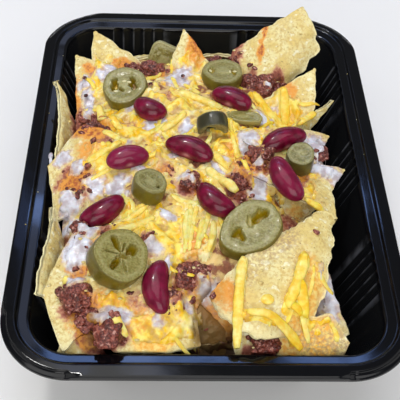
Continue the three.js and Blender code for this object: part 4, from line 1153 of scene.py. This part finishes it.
def melted_bundle(ground):
    """A sheet of melted cheese over the chips: closed, thick in the patches, sunk at its edges."""
    xs = np.arange(*CHEESE_X, CHEESE_CELL)
    ys = np.arange(*CHEESE_Y, CHEESE_CELL)
    x, y = flat_grid(xs, ys)
    shape = (len(xs), len(ys))
    flat = flat_points(x, y)
    raw = ground.at(x, y).reshape(shape)
    soft = blurred(raw)
    near = np.pad(raw, CLIFF_REACH, mode="edge")
    starts = product((0, CLIFF_REACH, 2 * CLIFF_REACH), repeat=2)
    shifts = [near[i:i + shape[0], j:j + shape[1]] for i, j in starts]
    cliff = (np.max(shifts, axis=0) - np.min(shifts, axis=0)).reshape(-1)
    white = patch(flat, "white")
    yellow = patch(flat, "yellow")
    meat = patch(flat, "meat")
    ridge, warm = melted_strands(x, y)
    skirt, skirt_warm = shred_skirts(x, y)
    cover = np.maximum(np.maximum(yellow, patch(flat, "cream")) - 0.75 * meat, white)
    cover += 0.35 * noise(flat, 4, 24) + 0.2 * noise(flat, 1.6, 25) + 0.15 * ridge
    beside = smoothstep(38, 41, x) * smoothstep(48.5, 46, soft.reshape(-1))
    cover -= 0.9 * smoothstep(6, 9, cliff) + patch(flat, "bare") + 2 * beside
    round_shreds = 0.9 * skirt - 0.1 + 0.2 * noise(flat, 1.8, 29) - smoothstep(6, 9, cliff)
    cover = np.maximum(cover, round_shreds)
    full = smoothstep(0.2, 0.7, cover)
    lumps = (0.3 * noise(flat, 2.4, 26) + 0.15 * noise(flat, 1.2, 27)) * (1 - 0.8 * white)
    pool = smoothstep(0.1, 0.9, white)
    rise = 0.7 + 0.5 * pool + 1.25 * ridge * (1 - 0.85 * pool) + 0.4 * skirt + lumps
    base = np.maximum(raw, soft - 0.2).reshape(-1) * 0.6 + soft.reshape(-1) * 0.4
    top = base + full * rise - 0.7 * (1 - full) - 0.05
    kept = (cover > 0.05).reshape(shape)
    cells = kept[:-1, :-1] & kept[1:, :-1] & kept[:-1, 1:] & kept[1:, 1:]
    upper = np.stack([x, y, top], axis=1)
    lower = np.stack([x, y, base - 1.6], axis=1)
    count = len(x)
    number = np.arange(count).reshape(shape)
    around = (number[:-1, :-1], number[1:, :-1], number[1:, 1:], number[:-1, 1:])
    corners = np.stack(around, axis=-1)
    top_faces = corners[cells]
    padded = np.pad(cells, 1)
    borders = []
    edges = (((1, 0), (0, 1)), ((2, 1), (1, 2)), ((1, 2), (2, 3)), ((0, 1), (3, 0)))
    for (i, j), (first, second) in edges:
        neighbour = padded[i:i + cells.shape[0], j:j + cells.shape[1]]
        open_cells = corners[cells & ~neighbour]
        borders.append(np.stack([open_cells[:, first], open_cells[:, second]], axis=1))
    border = np.concatenate(borders)
    walls = np.hstack([border[:, ::-1], border + count])
    used = np.unique(np.concatenate([top_faces.reshape(-1), top_faces.reshape(-1) + count]))
    place = np.full(2 * count, -1)
    place[used] = np.arange(len(used))
    points = kept_in_tray(np.vstack([upper, lower])[used])
    warmth = np.maximum(yellow, 0.8 * warm * smoothstep(0.1, 0.5, ridge))
    warmth = warmth + (skirt_warm - warmth) * smoothstep(0.1, 0.5, skirt)
    marks = {
        "white": white * (1 - 0.8 * smoothstep(0.1, 0.5, skirt)),
        "yellow": warmth,
        "sauce": patch(flat, "sauce") * (1 - 0.85 * white),
        "meat": meat * (1 - 0.5 * white),
        # Painted shade in the creases between the strands and round the shreds.
        "painted_crease_shade": (1 - smoothstep(0.0, 0.6, np.maximum(ridge, skirt))) * (1 - pool),
        # Painted shade: cheese painted dark where it lies in shadow.
        "painted_shade": patch(flat, "painted_shade"),
    }
    marks = {name: np.tile(values, 2)[used] for name, values in marks.items()}
    bundle = Bundle(*marks)
    bundle.add(points, [place[top_faces], place[top_faces[:, ::-1] + count], place[walls]], **marks)
    ball, faces = BALLS[4]
    for middle, half, heading in DRIP:
        drop = ball * half * (1 + 0.16 * noise(ball, 0.8, 40))[:, None]
        bundle.add(turned(drop, middle, heading), [faces], white=1.3)
    return bundle


def shred_line(start, heading, length, curve, ground, steps):
    """The middle line of a shred along the ground, with the directions of its steps."""
    angles = np.radians(heading + curve * np.linspace(0, 1, steps + 1))
    step = length / steps
    x = start[0] + np.concatenate([[0], np.cumsum(np.cos(angles[:-1]) * step)])
    y = start[1] + np.concatenate([[0], np.cumsum(np.sin(angles[:-1]) * step)])
    z = ground.at(x, y)
    for k in range(1, steps + 1):
        z[k] = np.clip(z[k], z[k - 1] - SHRED_STEEPNESS * step, z[k - 1] + SHRED_STEEPNESS * step)
    for _ in range(SHRED_SMOOTHING):
        z[1:-1] = (z[:-2] + z[1:-1] + z[2:]) / 3
    return np.stack([x, y, z], axis=1), angles


def add_shred(bundle, shred, ground, rise, seed, square, flat):
    start, heading, length, curve, size, warm = shred
    steps = max(int(length / SHRED_STEP), 6)
    line, angles = shred_line(start, heading, length, curve, ground, steps)
    share = np.linspace(0, 1, steps + 1)
    taper = np.minimum(1, 0.35 + 4 * np.minimum(share, 1 - share)) ** 0.6
    swell = 1 + 0.26 * noise(line, 4, seed) + 0.1 * noise(line, 1.6, seed + 5)
    half_width = size * SHRED_WIDTH / 2 * taper * swell
    half_height = flat * size * SHRED_THICKNESS / 2 * taper * (1 + 0.1 * noise(line, 2.4, seed + 1))
    around = np.linspace(0, 2 * math.pi, SHRED_SIDES, endpoint=False)
    across, upward = squared_circle(around, square).T
    side_x = -np.sin(angles)[:, None] * across * half_width[:, None]
    side_y = np.cos(angles)[:, None] * across * half_width[:, None]
    side_z = upward * half_height[:, None] + rise * half_height[:, None]
    points = line[:, None, :] + np.stack([side_x, side_y, side_z], axis=-1)
    points = points.reshape(-1, 3)
    points += 0.12 * np.stack([noise(points, 1.6, seed + axis) for axis in (2, 3, 4)], axis=1)
    caps = line[[0, -1]] + np.array([0, 0, 1]) * (rise * half_height[[0, -1]])[:, None]
    ring = np.arange(SHRED_SIDES)
    count = len(points)
    faces = [grid_faces(steps + 1, SHRED_SIDES, wrap=True, flip=True), fan(count, ring),
             fan(count + 1, steps * SHRED_SIDES + ring, flip=True)]
    points = kept_in_tray(np.vstack([points, caps]))
    # Painted shade: the under mark is the lower side of each shred, painted darker.
    under = np.concatenate([np.tile(smoothstep(0.3, -0.7, upward), steps + 1), [0, 0]])
    tint = np.clip(warm + 0.4 * noise(points, 5, seed + 6), 0, 1)
    bundle.add(points, faces, warm=tint, under=under)


def shreds_bundle(ground):
    """The large shreds of the heap, and many short ones half sunk in the melted cheese."""
    bundle = Bundle("warm", "under")
    for number, shred in enumerate(SHREDS):
        add_shred(bundle, shred, ground, 0.15, 300 + 7 * number, square=0.85, flat=0.95)
    draw = random.Random(4)
    made = 0
    while made < SHORT_SHREDS:
        x = draw.uniform(-50, 40)
        y = draw.uniform(-78, 48)
        length = draw.uniform(6, 13)
        shred = ((x, y), draw.uniform(0, 360), length, draw.uniform(-50, 50),
                 draw.uniform(0.5, 0.85), draw.uniform(0, 0.8))
        cheesy = patch(np.array([[x, y]]), "cheesy")[0]
        if draw.random() < cheesy - 0.3:
            rise = draw.uniform(-0.5, 0.2)
            add_shred(bundle, shred, ground, rise, 800 + 7 * made, square=0.8, flat=0.7)
            made += 1
    ball, faces = BALLS[4]
    for (x, y), half, tint in DROPS:
        points = ball * half + ground.above(x, y, 0.3 * half[2])
        bundle.add(kept_in_tray(points), [faces], warm=tint)
    return bundle


def add_lump(bundle, middle, size, level, seed, stretch, heading, grain, tone):
    """A knobbly lump of mince."""
    ball, faces = BALLS[level]
    points = turned(ball * size * np.array(stretch), (0, 0, 0), heading)
    placed = points + middle
    spread = grains(placed, grain, seed)
    push = 1 + 0.34 * noise(placed, size * 0.9, seed) + 0.2 * noise(placed, size * 0.45, seed + 1)
    knobs = 0.36 * grain * (0.55 - spread) + 0.24 * grain * noise(placed, grain * 0.6, seed + 2)
    knobs += 0.3 * noise(placed, 0.5, seed + 7)
    points = points * push[:, None] + ball * (knobs * min(1, size / 2))[:, None]
    tones = np.clip(tone + 0.45 * noise(placed, 2.4, seed + 3), 0, 1)
    # Painted shade: the crevice mark darkens the mince between its grains.
    bundle.add(kept_in_tray(points + middle), [faces], crevice=spread, tone=tones)


def add_clump(bundle, x, y, radius, level, draw, seed):
    """A clump of mince: one knobbly mass with smaller bits fused all round it."""
    stretch = (draw.uniform(0.95, 1.15), draw.uniform(0.8, 1.0), CLUMP_HEIGHT)
    tone = draw.uniform(0.35, 0.65)
    middle = (x, y, level + 0.1 * radius)
    add_lump(bundle, middle, radius, 5, seed, stretch, draw.uniform(0, 180), CLUMP_GRAIN, tone)
    for _ in range(int(1.7 * radius)):
        angle = draw.uniform(0, 2 * math.pi)
        share = draw.uniform(0.5, 1.15)
        dome = CLUMP_HEIGHT * radius * math.sqrt(max(1 - share**2, 0))
        size = draw.uniform(0.8, 1.9)
        shape = (draw.uniform(1.0, 1.4), draw.uniform(0.8, 1.0), draw.uniform(0.6, 0.8))
        place = (x + share * radius * math.cos(angle), y + share * radius * math.sin(angle),
                 level + 0.8 * dome)
        add_lump(bundle, place, size, 3, draw.randrange(9999), shape, draw.uniform(0, 180),
                 BIT_GRAIN, tone + draw.uniform(-0.3, 0.3))


def mince_bundle(ground):
    bundle = Bundle("crevice", "tone")
    draw = random.Random(7)
    for number, (x, y, radius, *level) in enumerate(MINCE):
        height = level[0] if level else float(ground.at(x, y))
        add_clump(bundle, x, y, radius, height, draw, 50 + number)
    return bundle


def crumbled_bundle(ground):
    """Loose crumbs of mince on the cheese and the chips."""
    bundle = Bundle("crevice", "tone")
    draw = random.Random(9)
    made = 0
    while made < MINCE_CRUMBS:
        x = draw.uniform(-54, 46)
        y = draw.uniform(-82, 54)
        meat_film_and_shade = patch(np.array([[x, y]]), "meat")[0]
        if draw.random() < 0.004 + meat_film_and_shade**2:
            size = draw.uniform(0.45, 1.3)
            shape = (draw.uniform(1.0, 1.5), draw.uniform(0.7, 1.0), draw.uniform(0.4, 0.7))
            add_lump(bundle, ground.above(x, y, 0.05 * size), size, 3, draw.randrange(9999), shape,
                     draw.uniform(0, 180), CRUMB_GRAIN, draw.random())
            made += 1
    return bundle


def charred_bits(ground):
    """A few small dark bits on the cheese."""
    bundle = Bundle("crevice", "tone")
    ball, faces = BALLS[2]
    for number, (x, y) in enumerate(CHARRED):
        points = ball * CHARRED_HALF * (1 + 0.2 * noise(ball, 0.8, number))[:, None]
        # The charred bits take the darkest colour of the mince, which is their own colour.
        bundle.add(points + ground.above(x, y, CHARRED_LIFT), [faces], crevice=1.0)
    return bundle


# ================================================================ beans and jalapenos
def middle_z(name):
    """Height of the middle of a CAD node."""
    low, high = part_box(name)
    return (low[2] + high[2]) / 2 / MM


def bean(number, material):
    (x, y), heading, tilt, length, bend = BEANS[number - 1]
    circle = np.linspace(0, 2 * math.pi, BEAN_SIDES, endpoint=False)
    turn, around = flat_grid(np.linspace(0, math.pi, BEAN_RINGS), circle)
    along = -np.cos(turn)
    girth = np.maximum(np.sin(turn), 0) ** 0.9
    points = np.stack([along * length / 2, girth * np.cos(around) * BEAN_WIDTH / 2,
                       girth * np.sin(around) * BEAN_HEIGHT / 2], axis=1)
    side = math.copysign(1, bend)
    facing = np.clip(side * np.cos(around), 0, 1)
    points[:, 1] -= side * 0.55 * np.exp(-((along / 0.22) ** 2)) * facing**6
    points[:, 1] += bend * (along**2 - BEAN_LEVEL)
    points *= (1 + 0.012 * noise(points, 5, number - 1))[:, None]
    points = turned(points, (x, y, middle_z(f"bean_{number}")), heading, tilt)
    hilum = np.exp(-((along / 0.13) ** 2)) * facing**60
    bundle = Bundle("hilum", "pale")
    bundle.add(points, [grid_faces(BEAN_RINGS, BEAN_SIDES, wrap=True, flip=True)], hilum=hilum,
               pale=PALE_BEANS.get(number, 0.0))
    dressed(f"kidney_bean_{number}", bundle, material, "bean", f"bean_{number}")


def hollow_depth(points, hollows, seed):
    """Depth of the seed hollows, as a share of the thickness, at shares of the slice's radii."""
    depth = np.zeros(len(points))
    flat = flat_points(*points.T)
    wobble = 0.28 * noise(flat, 0.22, seed) + 0.2 * noise(flat, 0.1, seed + 1)
    for angle, reach, half_along, half_across, deep in hollows:
        turn = math.radians(angle)
        away = np.array([math.cos(turn), math.sin(turn)])
        offset = points - reach * away
        along = offset @ away
        across = offset @ np.array([-away[1], away[0]])
        distance = np.hypot(along / half_along, across / half_across) + wobble
        depth = np.maximum(depth, deep * (1 - smoothstep(0.55, 1.15, distance)))
    return depth


def slice_placed(points, number):
    """Points of a slice modelled with its face up at the origin, moved to its place."""
    (x, y), _, thickness, faces_to, tip, spin = SLICES[number - 1][:6]
    turn = np.identity(3)
    for angle, axis in ((faces_to, "Z"), (tip, "Y"), (spin, "Z")):
        turn = turn @ np.array(Matrix.Rotation(math.radians(angle), 3, axis))
    face_z = middle_z(f"jalapeno_{number}") + thickness * math.cos(math.radians(tip)) / 2
    return points @ turn.T + (x, y, face_z)


def jalapeno(number, material):
    radii, thickness = SLICES[number - 1][1:3]
    tone, hollows = SLICES[number - 1][6:]
    seed = 490 + 10 * number
    around = np.linspace(0, 2 * math.pi, SLICE_SIDES, endpoint=False)
    power = SQUARED.get(number, 1)
    rim = squared_circle(around, power)
    rind = 1.0 if power == 1 else 0.25
    swell = 1 + 0.03 * np.sin(3 * around + radii[0]) + 0.012 * np.sin(7 * around + number - 1)
    bundle = Bundle("skin", "pith", "hollow", "tone")
    points = []
    marks = {"skin": [], "pith": [], "hollow": []}

    def ring(share, z, skin, pith=0.0, carve=True):
        flat = share * rim
        hollow = hollow_depth(flat, hollows, seed) if carve else np.zeros(SLICE_SIDES)
        placed = np.column_stack([flat * radii * swell[:, None], z - hollow * thickness * 0.8])
        if carve:
            placed[:, 2] += 0.12 * noise(placed, 1.6, seed + 4) * (share < 0.85)
        points.append(placed)
        for name, value in (("skin", skin), ("pith", pith), ("hollow", hollow)):
            marks[name].append(np.broadcast_to(value, SLICE_SIDES))

    for share in np.linspace(0.02, 0.93, FACE_RINGS):
        dip = 0.2 * smoothstep(0.85, 0.45, share)
        pith = 0.35 * math.exp(-(((share - 0.8) / 0.06) ** 2)) + 0.4 * smoothstep(0.5, 0.1, share)
        ring(share, -dip, 0.0, pith)
    for share, z, skin in ((0.955, 0, 0.1), (0.98, -0.08, 0.45), (0.996, -0.3, 0.85)):
        ring(share, z, skin * rind, 1.0 - rind, carve=False)
    for k in range(1, RIND_RINGS):
        down = k / RIND_RINGS
        bulge = 1 + 0.035 * math.sin(math.pi * down)
        ring(bulge, -0.4 - down * (thickness - 0.8), rind, 1.0 - rind, carve=False)
    for share, lift in ((0.985, 0.15), (0.93, 0), (0.5, 0), (0.02, 0)):
        ring(share, lift - thickness, 0.5, carve=False)
    count = len(points) * SLICE_SIDES
    start = np.arange(SLICE_SIDES)
    faces = [grid_faces(len(points), SLICE_SIDES, wrap=True, flip=True), fan(count, start),
             fan(count + 1, count - SLICE_SIDES + start, flip=True)]
    marks = {name: np.concatenate([*values, [0, 0]]) for name, values in marks.items()}
    points = slice_placed(np.vstack([*points, [(0, 0, 0), (0, 0, -thickness)]]), number)
    bundle.add(points, faces, tone=tone, **marks)
    dressed(f"jalapeno_slice_{number}", bundle, material, "jalapeno", f"jalapeno_{number}")


def seeds(material):
    bundle = Bundle()
    ball, faces = BALLS[3]
    for number, angle, reach, heading in SEEDS:
        radius_x, radius_y = SLICES[number - 1][1]
        angle = math.radians(angle)
        there = (reach * radius_x * math.cos(angle), reach * radius_y * math.sin(angle), SEED_LEVEL)
        bundle.add(slice_placed(turned(ball * SEED_HALF, there, heading), number), [faces])
    dressed("jalapeno_seeds", bundle, material, "jalapeno")


# ================================================================ crumbs
def crumb(draw, size, stretch):
    ball, _ = BALLS[1]
    return ball * size * stretch * (1 + 0.3 * noise(ball, 0.7, draw.randrange(999)))[:, None]


def crumbs(ground, material):
    """Chip crumbs on the rim and on the heap."""
    bundle = Bundle(*CHIP_MARKS)
    draw = random.Random(12)
    faces = BALLS[1][1]
    for _ in range(RIM_CRUMBS):
        side = -1 if draw.random() < 0.6 else 1
        inset = draw.uniform(1.5, RIM - 1)
        x = side * (TRAY_WIDTH / 2 - inset)
        y = draw.uniform(-60, 70)
        size = draw.uniform(0.12, 0.34)
        z = TRAY_HEIGHT if inset < FLANGE - 0.4 else LEDGE_Z
        bundle.add(crumb(draw, size, (1.2, 0.9, 0.6)) + (x, y, z + 0.4 * size), [faces])
    for _ in range(HEAP_CRUMBS):
        x = draw.uniform(-55, 48)
        y = draw.uniform(-84, 60)
        size = draw.uniform(0.3, 0.8)
        shape = crumb(draw, size, (1.3, 0.9, 0.5)) + ground.above(x, y, 0.2 * size)
        bundle.add(kept_in_tray(shape), [faces], toast=0.3)
    dressed("crumbs", bundle, material, "heap")


# ================================================================ stage
def area_light(name, place, size, power, tint, height=None):
    light = bpy.data.lights.new(name, "AREA")
    light.energy = power
    light.color = tint
    light.size = size
    if height:
        light.shape = "RECTANGLE"
        light.size_y = height
    lamp = linked(name, light)
    lamp.location = place
    aim = Vector(LAMP_AIM) - Vector(place)
    lamp.rotation_euler = aim.to_track_quat("-Z", "Y").to_euler()


def stage():
    span = np.linspace(-FLOOR_HALF, FLOOR_HALF, FLOOR_CELLS)
    bundle = Bundle()
    faces = grid_faces(FLOOR_CELLS, FLOOR_CELLS, flip=True)
    bundle.add(flat_points(*flat_grid(span, span)), [faces])
    mesh_object("floor", bundle, floor_material())

    world = bpy.data.worlds.new("soft_room")
    world.use_nodes = True
    background = world.node_tree.nodes["Background"]
    background.inputs["Color"].default_value = (0.98, 0.98, 1.0, 1)
    background.inputs["Strength"].default_value = 0.17
    bpy.context.scene.world = world
    for lamp in LAMPS:
        area_light(*lamp)
    bpy.context.scene.view_settings.view_transform = "Standard"


def camera():
    pitch, yaw, roll = (math.radians(angle) for angle in (CAMERA_PITCH, CAMERA_YAW, CAMERA_ROLL))
    level = math.cos(pitch)
    forward = Vector((math.sin(yaw) * level, math.cos(yaw) * level, -math.sin(pitch)))
    aside = Vector((math.cos(yaw), -math.sin(yaw), 0))
    above = aside.cross(forward)
    right = math.cos(roll) * aside + math.sin(roll) * above
    up = -math.sin(roll) * aside + math.cos(roll) * above
    data = bpy.data.cameras.new("camera")
    data.lens = CAMERA_LENS
    data.sensor_width = CAMERA_SENSOR
    data.clip_start = 0.01
    seen = linked("camera", data)
    turn = Matrix((right, up, -forward)).transposed().to_4x4()
    seen.matrix_world = Matrix.Translation(Vector(CAMERA_PLACE) * MM) @ turn
    bpy.context.scene.camera = seen


# ================================================================ all of it
def build():
    tray()
    core = core_bundle()
    chips = chips_bundle()
    bare = Ground(core, chips)
    mince = mince_bundle(bare)
    ground = Ground(core, chips, mince)
    cheese = melted_bundle(ground)
    surface = Ground(core, chips, mince, cheese)
    dressed("filling", core, filling_material(), "heap", "heap")
    chip_look = chip_material()
    dressed("tortilla_chips", chips, chip_look, "heap", "heap")
    mince_look = mince_material()
    dressed("mince", mince, mince_look, "heap", "heap")
    dressed("melted_cheese", cheese, cheese_material(), "heap", "heap")
    dressed("cheddar_shreds", shreds_bundle(surface), shred_material(), "heap", "heap")
    dressed("mince_crumbs", crumbled_bundle(surface), mince_look, "heap")
    dressed("charred_bits", charred_bits(surface), mince_look, "heap")
    bean_look = bean_material()
    for number in range(1, len(BEANS) + 1):
        bean(number, bean_look)
    jalapeno_look = jalapeno_material()
    for number in range(1, len(SLICES) + 1):
        jalapeno(number, jalapeno_look)
    seeds(seed_material())
    crumbs(surface, chip_look)
    stage()
    camera()


build()
